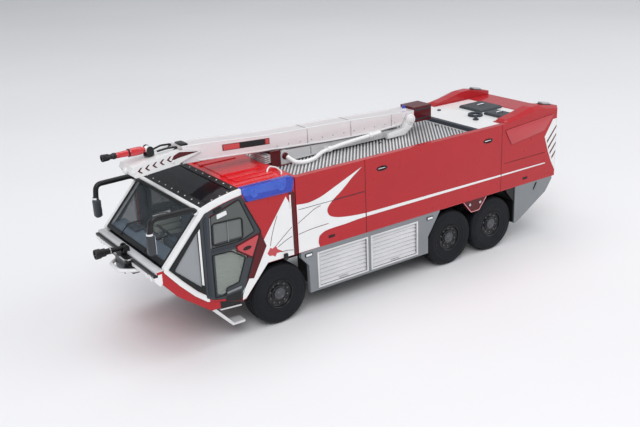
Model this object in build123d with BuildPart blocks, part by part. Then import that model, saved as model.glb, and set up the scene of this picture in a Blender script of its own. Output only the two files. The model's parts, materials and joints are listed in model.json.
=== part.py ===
from build123d import *
import os

# Airport fire truck, a table-top scale model with a folding boom, in millimetres.
# +X is forward, +Y is the left side, +Z is up. The origin is on the ground, below
# the middle of the whole model.
os.makedirs("parts", exist_ok=True)

# Stations along the truck count from the middle axle, which lies at this X.
MID_X = -44.95

# Wheels and axles
FRONT_AXLE = 97.25
REAR_AXLE = -28.4
TYRE_R = 13.8
TYRE_W = 9.5
TYRE_OUT_Y = 29.0
RIM_R = 6.6
RIM_RECESS = 0.5
SHOULDER = 1.2
SHAFT_R = 1.5
RUNNING = 0.05

# Front steering
KINGPIN_Y = 17.5
KINGPIN_R = 1.2
EYE_R = 2.4
BEAM_Z = (12.0, 15.6)
PLATE_T = 1.5
PLATE_GAP = 0.3
ARM_L = 8.0
ROD_T = 1.0
ROD_PIN_R = 0.6

# Frame
RAIL_Y = (8.0, 11.0)
RAIL_ENDS = (-66.0, 128.0)

# Body
HALF_W = 30.0
BODY_Z = 30.4
TOP_Z = 64.35
BODY_REAR = -75.5
CORNER = 3.7
BODY_FRONT = 87.7
DECK_Z = 62.0
DECK_T = 0.6
DECK_ENDS = (-18.0, 86.0)
DECK_HALF = HALF_W - 3.0
SKIRT_T = 2.0
SKIRT_Z = 10.4

# Cab
CAB_REAR = 88.2
WALL = 1.8
ROOF_T = 1.6
ROOF_Z = 65.0
ROOF_FRONT = 113.2
HEADER = (131.6, 60.7)
SILL_FRONT = (149.5, 41.0)
GLASS_T = 0.8

# Boom
BOOM_HALF = 5.0
LIFT_PIVOT = (77.0, 66.2)
ELBOW = (5.5, 69.8)
PIN_R = 1.2
SWIVEL_R = 0.8

# Flats of the round pieces that turn in nothing. Each count is a multiple of four, so that a quarter turn
# leaves the outline as it is.
TYRE_FLATS = 28
RIM_FLATS = 20
LARGE_FLATS = 16
SMALL_FLATS = 12
BOSS_FLATS = 8


def side(y):
    """Plane of a side profile at width y: its x runs forward from the middle axle, its y runs up."""
    return Plane(origin=(MID_X, y, 0), x_dir=(1, 0, 0), z_dir=(0, -1, 0))


SIDES = (("left", 1), ("right", -1))


def at(x, y, z):
    """Point at station x, width y and height z."""
    return Vector(MID_X + x, y, z)


def closed(points, mode=Mode.ADD):
    """Add a closed outline of straight edges to the sketch being built."""
    with BuildLine() as outline:
        Polyline(*points, close=True)
    make_face(outline.edges(), mode=mode)


def prism(points, y_from, y_to, mode=Mode.ADD):
    """Extrude a closed side profile from width y_from to width y_to."""
    with BuildSketch(side(y_from)) as profile:
        closed(points)
    extrude(profile.sketch, amount=y_from - y_to, mode=mode)


def slab(x, y, z, mode=Mode.ADD):
    """Box between two stations, two widths and two heights."""
    corners = [(x[0], z[0]), (x[1], z[0]), (x[1], z[1]), (x[0], z[1])]
    prism(corners, y[0], y[1], mode)


def rod(start, end, radius, mode=Mode.ADD, flats=0):
    """Bar between two points given as station, width and height: round, or with a number of flats."""
    axis = at(*end) - at(*start)
    with BuildSketch(Plane(origin=at(*start), z_dir=axis)) as section:
        if flats:
            RegularPolygon(radius, flats)
        else:
            Circle(radius)
    extrude(section.sketch, amount=axis.length, mode=mode)


def disc(x, z, radius, y_from, y_to, mode=Mode.ADD, flats=0):
    """Boss or hole on a cross axis, from width y_from to width y_to."""
    rod((x, y_from, z), (x, y_to, z), radius, mode, flats)


def post(x, y, radius, z_from, z_to, mode=Mode.ADD, flats=0):
    """Upright boss or hole."""
    rod((x, y, z_from), (x, y, z_to), radius, mode, flats)


def pipe(points, radius):
    """Bar along straight runs that meet in mitred corners."""
    with BuildLine() as path:
        Polyline(*[at(*point) for point in points])
    with BuildSketch(Plane(origin=path.line @ 0, z_dir=path.line % 0)) as section:
        RegularPolygon(radius, BOSS_FLATS)
    sweep(section.sketch, path=path.line, transition=Transition.RIGHT)


# Rim: a dished ring with a recess behind it and a stepped hub, all as widths and radii
RIM_IN_Y = TYRE_OUT_Y - TYRE_W + RIM_RECESS
RIM_OUT_Y = TYRE_OUT_Y - RIM_RECESS
HUB_IN_Y = RIM_IN_Y + 2.0
WEB_OUT_Y = RIM_OUT_Y - 1.5
RIM_WALL = 0.8
HUB_STEPS = ((3.6, 0.5), (2.4, 1.2))


def rim_shape(x, s):
    """Rim on the axle at station x, on side s."""
    disc(x, TYRE_R, RIM_R, s * RIM_IN_Y, s * RIM_OUT_Y, flats=RIM_FLATS)
    for y_from, y_to in ((RIM_IN_Y, HUB_IN_Y), (WEB_OUT_Y, RIM_OUT_Y)):
        disc(x, TYRE_R, RIM_R - RIM_WALL, s * y_from, s * y_to, Mode.SUBTRACT, RIM_FLATS)
    for radius, height in HUB_STEPS:
        disc(x, TYRE_R, radius, s * WEB_OUT_Y, s * (WEB_OUT_Y + height), flats=SMALL_FLATS)


# Tyres: where the wheel stands and its station. Each is a ring of many flats, one flat on the ground.
WHEELS = (("front", FRONT_AXLE), ("middle", 0), ("rear", REAR_AXLE))
for place, station in WHEELS:
    for name, s in SIDES:
        with BuildPart() as tyre:
            with BuildSketch(side(s * TYRE_OUT_Y)):
                with Locations((station, TYRE_R)):
                    RegularPolygon(TYRE_R, TYRE_FLATS, major_radius=False, rotation=180 / TYRE_FLATS)
                    RegularPolygon(RIM_R, RIM_FLATS, mode=Mode.SUBTRACT)
            extrude(amount=s * TYRE_W)
            treads = [f.outer_wire() for f in tyre.faces().filter_by(Axis.Y)]
            chamfer([edge for wire in treads for edge in wire.edges()], SHOULDER)
        tyre.part.label = f"{place}_tyre_{name}"
        export_step(tyre.part, f"parts/{place}_tyre_{name}.step")

# Rear wheelsets: two rims on one shaft
for place, station in WHEELS[1:]:
    with BuildPart() as wheelset:
        for name, s in SIDES:
            rim_shape(station, s)
        disc(station, TYRE_R, SHAFT_R, -HUB_IN_Y - 1, HUB_IN_Y + 1)
    wheelset.part.label = f"{place}_wheelset"
    export_step(wheelset.part, f"parts/{place}_wheelset.step")

# Front rims, each with a blind bore for the knuckle's stub
STUB_END_Y = RIM_OUT_Y - 1.2
for name, s in SIDES:
    with BuildPart() as rim:
        rim_shape(FRONT_AXLE, s)
        disc(FRONT_AXLE, TYRE_R, SHAFT_R + RUNNING, s * (HUB_IN_Y - 1), s * (STUB_END_Y + 0.3), Mode.SUBTRACT)
    rim.part.label = f"front_rim_{name}"
    export_step(rim.part, f"parts/front_rim_{name}.step")

# Knuckles: two plates round the beam's eye, a pin through it, a web, the stub and the steering arm
KNUCKLE_Z = (BEAM_Z[0] - PLATE_GAP - PLATE_T, BEAM_Z[1] + PLATE_GAP + PLATE_T)
WEB_Y = (KINGPIN_Y + EYE_R + PLATE_GAP, HUB_IN_Y - 0.4)
WEB_HALF = 1.8
ARM_HALF = 1.2
ARM_X = FRONT_AXLE - ARM_L
for name, s in SIDES:
    with BuildPart() as knuckle:
        slab((FRONT_AXLE - WEB_HALF, FRONT_AXLE + WEB_HALF), (s * WEB_Y[0], s * WEB_Y[1]), KNUCKLE_Z)
        post(FRONT_AXLE, s * KINGPIN_Y, KINGPIN_R, *KNUCKLE_Z)
        for low in (KNUCKLE_Z[0], KNUCKLE_Z[1] - PLATE_T):
            post(FRONT_AXLE, s * KINGPIN_Y, EYE_R, low, low + PLATE_T, flats=BOSS_FLATS)
            plate_y = (s * KINGPIN_Y, s * WEB_Y[1])
            slab((FRONT_AXLE - WEB_HALF, FRONT_AXLE + WEB_HALF), plate_y, (low, low + PLATE_T))
        arm_z = (KNUCKLE_Z[0], KNUCKLE_Z[0] + PLATE_T)
        slab((ARM_X, FRONT_AXLE), (s * (KINGPIN_Y - ARM_HALF), s * (KINGPIN_Y + ARM_HALF)), arm_z)
        post(ARM_X, s * KINGPIN_Y, ARM_HALF, *arm_z, flats=BOSS_FLATS)
        post(ARM_X, s * KINGPIN_Y, ROD_PIN_R + RUNNING, *arm_z, Mode.SUBTRACT)
        disc(FRONT_AXLE, TYRE_R, SHAFT_R, s * WEB_Y[0], s * STUB_END_Y)
    knuckle.part.label = f"knuckle_{name}"
    export_step(knuckle.part, f"parts/knuckle_{name}.step")

# Tie rod with its two upright pins
ROD_Z = (KNUCKLE_Z[0] - PLATE_GAP - ROD_T, KNUCKLE_Z[0] - PLATE_GAP)
with BuildPart() as tie_rod:
    slab((ARM_X - 0.9, ARM_X + 0.9), (-KINGPIN_Y, KINGPIN_Y), ROD_Z)
    for name, s in SIDES:
        post(ARM_X, s * KINGPIN_Y, ARM_HALF, *ROD_Z, flats=BOSS_FLATS)
        post(ARM_X, s * KINGPIN_Y, ROD_PIN_R, ROD_Z[0], KNUCKLE_Z[0] + PLATE_T)
tie_rod.part.label = "tie_rod"
export_step(tie_rod.part, "parts/tie_rod.step")

# Front axle beam with an eye at each end
with BuildPart() as front_beam:
    slab((FRONT_AXLE - 2, FRONT_AXLE + 2), (-KINGPIN_Y + 1, KINGPIN_Y - 1), BEAM_Z)
    for name, s in SIDES:
        post(FRONT_AXLE, s * KINGPIN_Y, EYE_R, *BEAM_Z, flats=BOSS_FLATS)
        post(FRONT_AXLE, s * KINGPIN_Y, KINGPIN_R + RUNNING, *BEAM_Z, Mode.SUBTRACT)
front_beam.part.label = "front_axle_beam"
export_step(front_beam.part, "parts/front_axle_beam.step")

# Frame: two rails with seats for the beam, lugs round the rear shafts, and cross members
RAIL_LOW = 20.0
CAB_ARCH = (103.2, BODY_Z)
RAIL_SIDE = [
    (RAIL_ENDS[0], RAIL_LOW + 2),
    (RAIL_ENDS[0], BODY_Z),
    (CAB_ARCH[0], BODY_Z),
    (108.5, 24.2),
    (108.5, RAIL_LOW),
    (FRONT_AXLE + 6, BEAM_Z[1]),
    (FRONT_AXLE - 6, BEAM_Z[1]),
    (FRONT_AXLE - 10, RAIL_LOW),
    (-60, RAIL_LOW),
]
LUG_HALF = 4.0
CROSS_MEMBERS = (-62.0, -14.2, 30.0, 72.0, FRONT_AXLE)
SCREW_MEMBERS = (-14.2, 72.0)
SCREW_R = 1.25
SCREW_DEPTH = 6.0
with BuildPart() as frame:
    for name, s in SIDES:
        prism(RAIL_SIDE, s * RAIL_Y[0], s * RAIL_Y[1])
        for station in (0, REAR_AXLE):
            slab((station - LUG_HALF, station + LUG_HALF), (s * RAIL_Y[0], s * RAIL_Y[1]), (TYRE_R, RAIL_LOW))
            disc(station, TYRE_R, LUG_HALF, s * RAIL_Y[0], s * RAIL_Y[1], flats=BOSS_FLATS)
            disc(station, TYRE_R, SHAFT_R + RUNNING, s * RAIL_Y[0], s * RAIL_Y[1], Mode.SUBTRACT)
    for station in CROSS_MEMBERS:
        slab((station - 3, station + 3), (-RAIL_Y[0], RAIL_Y[0]), (RAIL_LOW + 2, BODY_Z))
    for station in SCREW_MEMBERS:
        post(station, 0, SCREW_R, RAIL_LOW + 2, RAIL_LOW + 2 + SCREW_DEPTH, Mode.SUBTRACT)
frame.part.label = "frame"
export_step(frame.part, "parts/frame.step")

# Tank body with the deck recess, the shallower lid recess, seams and pockets in its sides and rear
LID_T = 0.8
LID_Z = 64.0
LID_ENDS = (-60.0, DECK_ENDS[0])
FIN_IN_Y = HALF_W - 8.0
FIN_START = -36.0
LID_SIDE_Y = FIN_IN_Y - 0.5
SEAM_W = 0.3
SEAM_DEPTH = 0.3
UPRIGHT_SEAMS = (51.4, -32.7)
LEVEL_SEAMS = ((51.7, BODY_FRONT - 0.8, 50.0), (-64.0, -34.6, 44.4))
# Side pockets: station, height, length, rise and depth of the two handles and the two vents
POCKETS = ((42.0, 58.6, 4.4, 1.7, 0.8), (-23.1, 58.3, 4.4, 1.7, 0.8),
           (70.3, 33.8, 3.4, 1.3, 0.5), (-50.0, 33.6, 3.4, 1.3, 0.5))
GRILLE_T = 1.0
GRILLE_HALF = 15.0
GRILLE_Z = (35.0, 57.0)
TAIL_LAMP_T = 0.6
TAIL_LAMP_Y = (HALF_W - 11.5, HALF_W - 5.5)
TAIL_LAMP_Z = (36.0, 48.0)


def cut_rear_corners(z_from, z_to):
    """Bevel the two upright rear corners of the body."""
    for name, s in SIDES:
        with BuildSketch(Plane(origin=(MID_X + BODY_REAR, 0, z_from))) as corner:
            closed([(-1, s * (HALF_W - CORNER - 1)), (CORNER + 1, s * (HALF_W + 1)), (-1, s * (HALF_W + 1))])
        extrude(corner.sketch, amount=z_to - z_from, mode=Mode.SUBTRACT)


with BuildPart() as tank_body:
    prism(
        [(BODY_REAR, BODY_Z + 0.3), (BODY_REAR + 5.5, BODY_Z), (BODY_FRONT, BODY_Z), (BODY_FRONT, TOP_Z),
         (BODY_REAR, TOP_Z)],
        HALF_W,
        -HALF_W,
    )
    slab(DECK_ENDS, (-DECK_HALF, DECK_HALF), (DECK_Z - DECK_T, TOP_Z), Mode.SUBTRACT)
    slab((FIN_START + 1, LID_ENDS[1]), (-DECK_HALF, DECK_HALF), (LID_Z - LID_T, TOP_Z), Mode.SUBTRACT)
    slab((LID_ENDS[0], FIN_START + 1), (-LID_SIDE_Y, LID_SIDE_Y), (LID_Z - LID_T, TOP_Z), Mode.SUBTRACT)
    cut_rear_corners(BODY_Z - 1, TOP_Z + 1)
    grille_x = (BODY_REAR, BODY_REAR + GRILLE_T)
    slab(grille_x, (-GRILLE_HALF, GRILLE_HALF), GRILLE_Z, Mode.SUBTRACT)
    for name, s in SIDES:
        seam_y = (s * HALF_W, s * (HALF_W - SEAM_DEPTH))
        for x in UPRIGHT_SEAMS:
            slab((x - SEAM_W / 2, x + SEAM_W / 2), seam_y, (BODY_Z, TOP_Z), Mode.SUBTRACT)
        for x_from, x_to, z in LEVEL_SEAMS:
            slab((x_from, x_to), seam_y, (z - SEAM_W / 2, z + SEAM_W / 2), Mode.SUBTRACT)
        for x, z, length, rise, depth in POCKETS:
            pocket_y = (s * HALF_W, s * (HALF_W - depth))
            slab((x - length / 2, x + length / 2), pocket_y, (z - rise / 2, z + rise / 2), Mode.SUBTRACT)
        lamp_y = (s * TAIL_LAMP_Y[0], s * TAIL_LAMP_Y[1])
        slab((BODY_REAR, BODY_REAR + TAIL_LAMP_T), lamp_y, TAIL_LAMP_Z, Mode.SUBTRACT)
tank_body.part.label = "tank_body"
export_step(tank_body.part, "parts/tank_body.step")

# Louvred grille in the rear wall
LOUVRES = 9
LOUVRE_PITCH = (GRILLE_Z[1] - GRILLE_Z[0]) / LOUVRES
with BuildPart() as rear_grille:
    louvres = [(BODY_REAR + GRILLE_T, GRILLE_Z[1]), (BODY_REAR + GRILLE_T, GRILLE_Z[0])]
    for i in range(LOUVRES):
        louvres.append((BODY_REAR, GRILLE_Z[0] + i * LOUVRE_PITCH))
        louvres.append((BODY_REAR + 0.6, GRILLE_Z[0] + (i + 0.8) * LOUVRE_PITCH))
    prism(louvres, GRILLE_HALF, -GRILLE_HALF)
rear_grille.part.label = "rear_grille"
export_step(rear_grille.part, "parts/rear_grille.step")

with BuildPart() as deck_plate:
    slab(DECK_ENDS, (-DECK_HALF, DECK_HALF), (DECK_Z - DECK_T, DECK_Z))
deck_plate.part.label = "deck_plate"
export_step(deck_plate.part, "parts/deck_plate.step")

with BuildPart() as rear_lid:
    slab((FIN_START + 1, LID_ENDS[1]), (-DECK_HALF, DECK_HALF), (LID_Z - LID_T, LID_Z))
    slab((LID_ENDS[0], FIN_START + 1), (-LID_SIDE_Y, LID_SIDE_Y), (LID_Z - LID_T, LID_Z))
rear_lid.part.label = "rear_lid"
export_step(rear_lid.part, "parts/rear_lid.step")

# Two hatches and a filler ring on the lid
HATCH_T = 1.4
HATCH_BEVEL = 0.5
HATCHES = (((-58.5, -43.0), (-11.0, 4.5)), ((-51.0, -42.0), (8.0, 21.0)))
RING = (-37.4, 6.6)
RING_R = (2.7, 3.6)
RING_T = 1.0
with BuildPart() as lid_hatches:
    for x, y in HATCHES:
        slab(x, y, (LID_Z, LID_Z + HATCH_T))
    chamfer(lid_hatches.edges().group_by(Axis.Z)[-1], HATCH_BEVEL)
    post(*RING, RING_R[1], LID_Z, LID_Z + RING_T, flats=LARGE_FLATS)
    post(*RING, RING_R[0], LID_Z, LID_Z + RING_T, Mode.SUBTRACT, LARGE_FLATS)
lid_hatches.part.label = "lid_hatches"
export_step(lid_hatches.part, "parts/lid_hatches.step")

# Rear fins: a flat crest along the inside, from which the top slopes down to the outer edge. The points give
# the station and the rise of the crest over the body's top.
CREST_Y = HALF_W - 3.0
CREST = [(-38.0, 1.15), (-45.3, 2.3), (-55.2, 4.5), (-61.3, 4.6), (BODY_REAR, 2.0)]
EDGE_DROP = 1.1


def fin_profile(drop):
    """Side profile of a fin whose top lies this far under the crest."""
    top = [(x, TOP_Z + rise - drop) for x, rise in CREST]
    return [(BODY_REAR, TOP_Z), (FIN_START, TOP_Z), *top]


with BuildPart() as fins:
    for name, s in SIDES:
        prism(fin_profile(0), s * FIN_IN_Y, s * CREST_Y)
        with BuildSketch(side(s * CREST_Y)) as inner:
            closed(fin_profile(0))
        with BuildSketch(side(s * HALF_W)) as outer:
            closed(fin_profile(EDGE_DROP))
        loft([inner.sketch, outer.sketch], ruled=True)
    cut_rear_corners(TOP_Z - 1, TOP_Z + 6)
fins.part.label = "rear_fins"
export_step(fins.part, "parts/rear_fins.step")

# Oval lamps on the fins' rear slopes, and the tail lamps in the rear wall
FIN_LAMP = [
    (3.2, 0.9),
    (2.2, 2.0),
    (-2.2, 2.0),
    (-3.2, 0.9),
    (-3.2, -0.9),
    (-2.2, -2.0),
    (2.2, -2.0),
    (3.2, -0.9),
]
FIN_LAMP_T = 0.6
FIN_LAMP_AT = 0.45
slope_top, slope_foot = [at(x, 0, TOP_Z + rise) for x, rise in CREST[-2:]]
slope = slope_top - slope_foot
with BuildPart() as rear_lights:
    for name, s in SIDES:
        seat = slope_top - slope * FIN_LAMP_AT + Vector(0, s * (FIN_IN_Y + CREST_Y) / 2, 0)
        with BuildSketch(Plane(origin=seat, x_dir=slope, z_dir=slope.cross(Vector(0, 1, 0)))) as lamp:
            closed(FIN_LAMP)
        extrude(lamp.sketch, amount=FIN_LAMP_T)
        lamp_y = (s * TAIL_LAMP_Y[0], s * TAIL_LAMP_Y[1])
        slab((BODY_REAR, BODY_REAR + TAIL_LAMP_T), lamp_y, TAIL_LAMP_Z)
rear_lights.part.label = "rear_lights"
export_step(rear_lights.part, "parts/rear_lights.step")

# Side lockers: an outer skirt, the locker box behind it and two shutter recesses
SKIRT_X = (15.0, 82.6)
LOCKER_X = (17.0, 78.5)
LOCKER_IN_Y = 14.0
SHUTTER_Z = (12.3, 27.5)
SHUTTER_DEPTH = 1.0
SHUTTERS = ((22.2, 48.3), (51.6, 77.5))
SLATS = 8
SLAT_OUT = 0.75
SLAT_IN = 0.35
REAR_SKIRT = [(-43.2, BODY_Z), (-43.2, 10.9), (-44.4, 10.7), (-65.6, 23), (-70, 29), (-70, BODY_Z)]
for name, s in SIDES:
    with BuildPart() as skirt:
        prism(
            [(SKIRT_X[0], SKIRT_Z), (SKIRT_X[1], SKIRT_Z), (SKIRT_X[1] + 0.2, 23.4), (86.6, 27.8),
             (86.6, BODY_Z), (7.5, BODY_Z), (8.0, 29.4), (SKIRT_X[0], 18.8)],
            s * HALF_W,
            s * (HALF_W - SKIRT_T),
        )
        slab(LOCKER_X, (s * (HALF_W - SKIRT_T), s * LOCKER_IN_Y), (SKIRT_Z + 1, BODY_Z))
        for x in SHUTTERS:
            slab(x, (s * HALF_W, s * (HALF_W - SHUTTER_DEPTH)), SHUTTER_Z, Mode.SUBTRACT)
    skirt.part.label = f"skirt_{name}"
    export_step(skirt.part, f"parts/skirt_{name}.step")

# Roller shutters: each slat leans out towards its lower edge
slat_pitch = (SHUTTER_Z[1] - SHUTTER_Z[0]) / SLATS
slats = [(0, SHUTTER_Z[1] - SHUTTER_Z[0]), (0, 0)]
for i in range(SLATS):
    slats.append((SLAT_OUT, i * slat_pitch))
    slats.append((SLAT_IN, (i + 1) * slat_pitch))
with BuildPart() as shutters:
    for name, s in SIDES:
        for x in SHUTTERS:
            foot = at(x[0], s * (HALF_W - SHUTTER_DEPTH), SHUTTER_Z[0])
            with BuildSketch(Plane(origin=foot, x_dir=(0, s, 0), z_dir=(s, 0, 0))) as section:
                closed(slats)
            extrude(section.sketch, amount=s * (x[1] - x[0]))
shutters.part.label = "shutters"
export_step(shutters.part, "parts/shutters.step")

with BuildPart() as rear_skirts:
    for name, s in SIDES:
        prism(REAR_SKIRT, s * HALF_W, s * LOCKER_IN_Y)
rear_skirts.part.label = "rear_skirts"
export_step(rear_skirts.part, "parts/rear_skirts.step")

# Arch liners between the rear wheels and the rear skirts
LINER = [(-43.2, BODY_Z), (-37.4, BODY_Z), (-37.4, 28.9), (-42.5, 23.0), (-42.5, 11.6), (-43.2, 11.6)]
with BuildPart() as liners:
    for name, s in SIDES:
        prism(LINER, s * (HALF_W - 0.5), s * LOCKER_IN_Y)
liners.part.label = "arch_liners"
export_step(liners.part, "parts/arch_liners.step")

# Brackets between the middle and rear wheels
BRACKET = [(-7.8, BODY_Z), (-12.8, 24.4), (-18.0, 24.4), (-22.8, BODY_Z)]
with BuildPart() as brackets:
    for name, s in SIDES:
        prism(BRACKET, s * HALF_W, s * (HALF_W - 2.5))
brackets.part.label = "axle_brackets"
export_step(brackets.part, "parts/axle_brackets.step")

# Cab outline: rear corner, wheel arch, sill, screen and roof line
SILL = [(132.2, 21.6), (137.6, 25.9), (143.5, 32.1), (149.4, 39.3)]
ARCH_FOOT = (114.8, 17.4)
ROOF_LINE = [(127.1, 62.2), (122.5, 63.4), (118.0, 64.3), (ROOF_FRONT, ROOF_Z)]
CAB_OUTLINE = [
    (CAB_REAR, BODY_Z),
    CAB_ARCH,
    ARCH_FOOT,
    (116.5, 17.1),
    (124.0, 19.4),
    *SILL,
    SILL_FRONT,
    HEADER,
    *ROOF_LINE,
    (CAB_REAR, ROOF_Z),
]
PILLAR_W = 2.2
HEADER_TUBE = (HEADER[0] - 0.8, HEADER[1] - 0.8)
HEADER_TUBE_R = 1.1
LIGHT_IN_Y = HALF_W - 3.5
LIGHT_TOP = ROOF_Z - 0.3
LIGHT_SIDE = [
    (CAB_REAR + 0.2, 63.2),
    (89.2, 58.6),
    (111.4, 59.2),
    (ROOF_FRONT, 64.0),
    (ROOF_FRONT, LIGHT_TOP),
    (CAB_REAR + 0.2, LIGHT_TOP),
]
DOOR = [
    (129.2, 21.4),
    (128.6, 57.1),
    (114.1, 61.6),
    (111.9, 58.6),
    (105.5, 45.5),
    (116.3, 18.6),
    (123.1, 20.2),
]
QUARTER = [(133.4, 27.4), (145.6, 38.9), (133.4, 54.2)]
WINDOWS = (
    [(127.0, 45.4), (126.6, 55.0), (115.4, 58.6), (113.6, 56.6), (111.2, 45.4)],
    [(127.2, 43.2), (127.5, 23.4), (122.6, 22.2), (117.8, 22.4), (111.6, 37.4), (116.2, 43.2)],
)


# White pillar band of one side, in a side plane
with BuildSketch() as pillar_band:
    closed(CAB_OUTLINE)
    offset(amount=-PILLAR_W, mode=Mode.SUBTRACT)
    with Locations((ROOF_FRONT, 0)):
        Rectangle(ROOF_FRONT, 2 * ROOF_Z + 2, align=(Align.MAX, Align.CENTER), mode=Mode.SUBTRACT)
    with Locations((SILL[0][0] - 1, 0)):
        Rectangle(ROOF_FRONT, ROOF_Z - 15, align=(Align.MAX, Align.MIN), mode=Mode.SUBTRACT)

# Wheel house behind the cab's side skins, moved up and forward of the arch so that a steered tyre clears it
HOUSE_SHIFT = (1.4, 1.2)
HOUSE_IN_Y = 13.0
HOUSE = [
    (CAB_REAR - 1, BODY_Z - 1),
    (CAB_REAR - 1, BODY_Z + HOUSE_SHIFT[1]),
    (CAB_ARCH[0] + HOUSE_SHIFT[0], CAB_ARCH[1] + HOUSE_SHIFT[1]),
    (ARCH_FOOT[0] + HOUSE_SHIFT[0], ARCH_FOOT[1] + HOUSE_SHIFT[1]),
    (ARCH_FOOT[0] + HOUSE_SHIFT[0], ARCH_FOOT[1] - 1),
]

# Inside of the cab shell, in a side plane
with BuildSketch() as cab_inside:
    closed(CAB_OUTLINE)
    offset(amount=-WALL, mode=Mode.REPLACE)
    with BuildSketch(mode=Mode.PRIVATE) as house_wall:
        closed(HOUSE)
        offset(amount=WALL, kind=Kind.INTERSECTION, mode=Mode.REPLACE)
    add(house_wall.sketch, mode=Mode.SUBTRACT)

INNER_Y = HALF_W - WALL
GLASS_INSET = 0.3

# Opening for the screen and the roof glass, from the sill over the header to the roof
FRONT_OPENING = [
    SILL_FRONT,
    (SILL_FRONT[0] + 20, SILL_FRONT[1]),
    (SILL_FRONT[0] + 20, ROOF_Z + 10),
    (ROOF_FRONT, ROOF_Z + 10),
    (ROOF_FRONT, ROOF_Z - 3),
    (HEADER[0] - 2.6, HEADER[1] - 2.2),
    (SILL_FRONT[0] - 3, SILL[-1][1]),
    SILL[-1],
]
with BuildPart() as cab_body:
    prism(CAB_OUTLINE, HALF_W, -HALF_W)
    with BuildSketch(side(INNER_Y)):
        add(cab_inside.sketch)
    extrude(amount=2 * INNER_Y, mode=Mode.SUBTRACT)
    prism(FRONT_OPENING, INNER_Y, -INNER_Y, Mode.SUBTRACT)
    slab((CAB_REAR - 1, ROOF_FRONT), (-LIGHT_IN_Y, LIGHT_IN_Y), (ROOF_Z - ROOF_T, ROOF_Z + 1), Mode.SUBTRACT)
    for name, s in SIDES:
        prism(LIGHT_SIDE, s * HALF_W, s * LIGHT_IN_Y, Mode.SUBTRACT)
        prism(HOUSE, s * INNER_Y, s * HOUSE_IN_Y, Mode.SUBTRACT)
        prism(DOOR, s * HALF_W, s * INNER_Y, Mode.SUBTRACT)
        prism(QUARTER, s * HALF_W, s * INNER_Y, Mode.SUBTRACT)
        light_y = (s * HALF_W, s * LIGHT_IN_Y)
        slab((CAB_REAR - 1, ROOF_FRONT), light_y, (LIGHT_TOP, ROOF_Z + 1), Mode.SUBTRACT)
    for name, s in SIDES:
        with BuildSketch(side(s * HALF_W)):
            add(pillar_band.sketch)
        extrude(amount=s * WALL, mode=Mode.SUBTRACT)
cab_body.part.label = "cab_body"
export_step(cab_body.part, "parts/cab_body.step")

with BuildPart() as pillar_frame:
    for name, s in SIDES:
        with BuildSketch(side(s * HALF_W)):
            add(pillar_band.sketch)
        extrude(amount=s * WALL)
    disc(*HEADER_TUBE, HEADER_TUBE_R, -INNER_Y, INNER_Y, flats=SMALL_FLATS)
pillar_frame.part.label = "pillar_frame"
export_step(pillar_frame.part, "parts/pillar_frame.step")

ROOF_STEP = 0.3
with BuildPart() as roof_panel:
    slab((CAB_REAR, ROOF_FRONT), (-LIGHT_IN_Y, LIGHT_IN_Y), (ROOF_Z - ROOF_T, ROOF_Z))
    slab((CAB_REAR + 4, ROOF_FRONT - 3), (-LIGHT_IN_Y + 6, LIGHT_IN_Y - 6), (ROOF_Z, ROOF_Z + ROOF_STEP))
roof_panel.part.label = "roof_panel"
export_step(roof_panel.part, "parts/roof_panel.step")

# Cab doors with two window openings, and the fixed panes beside them
DOOR_GAP = 0.1
for name, s in SIDES:
    with BuildPart() as door:
        with BuildSketch(side(s * HALF_W)):
            closed(DOOR)
            offset(amount=-DOOR_GAP, mode=Mode.REPLACE)
            for window in WINDOWS:
                closed(window, Mode.SUBTRACT)
        extrude(amount=s * WALL)
    door.part.label = f"door_{name}"
    export_step(door.part, f"parts/door_{name}.step")

with BuildPart() as side_glass:
    for name, s in SIDES:
        for pane in (*WINDOWS, QUARTER):
            prism(pane, s * (HALF_W - GLASS_INSET), s * (HALF_W - GLASS_INSET - GLASS_T))
side_glass.part.label = "side_glass"
export_step(side_glass.part, "parts/side_glass.step")

with BuildPart() as blue_lights:
    for name, s in SIDES:
        prism(LIGHT_SIDE, s * HALF_W, s * LIGHT_IN_Y)
blue_lights.part.label = "blue_lights"
export_step(blue_lights.part, "parts/blue_lights.step")

# Flat panes across the cab: an offset band of the outline, one piece each
with BuildSketch() as glass_band:
    closed(CAB_OUTLINE)
    offset(amount=-GLASS_INSET, mode=Mode.REPLACE)
    offset(amount=-GLASS_T, mode=Mode.SUBTRACT)
    with Locations(HEADER_TUBE):
        RegularPolygon(HEADER_TUBE_R, SMALL_FLATS, mode=Mode.SUBTRACT)
SPLIT = [(HEADER[0] - 2.6, HEADER[1] - 3.2), (HEADER[0] + 1.6, HEADER[1] + 2.4)]
PANES = (
    ("windscreen", [*SPLIT, (SILL_FRONT[0] + 10, HEADER[1] - 10), (SILL_FRONT[0] + 10, SILL_FRONT[1] + 0.2),
                    (SILL_FRONT[0] - 10, SILL_FRONT[1] + 0.2)]),
    ("roof_glass", [*SPLIT, (SPLIT[1][0], ROOF_Z + 5), (ROOF_FRONT, ROOF_Z + 5), (ROOF_FRONT, SPLIT[0][1])]),
)
for name, region in PANES:
    with BuildPart() as pane:
        with BuildSketch(side(INNER_Y)):
            add(glass_band.sketch)
            closed(region, Mode.INTERSECT)
        extrude(amount=2 * INNER_Y)
    pane.part.label = name
    export_step(pane.part, f"parts/{name}.step")

# Dashboard and seats stand on the inside of the cab shell
DASH = [(139.0, 20), (137.2, 39.6), (140.4, 43.2), (144.4, 42.4), (160, 39.4), (160, 20)]
with BuildPart() as dashboard:
    with BuildSketch(side(INNER_Y)):
        add(cab_inside.sketch)
        closed(DASH, Mode.INTERSECT)
    extrude(amount=2 * INNER_Y)
dashboard.part.label = "dashboard"
export_step(dashboard.part, "parts/dashboard.step")

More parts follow.
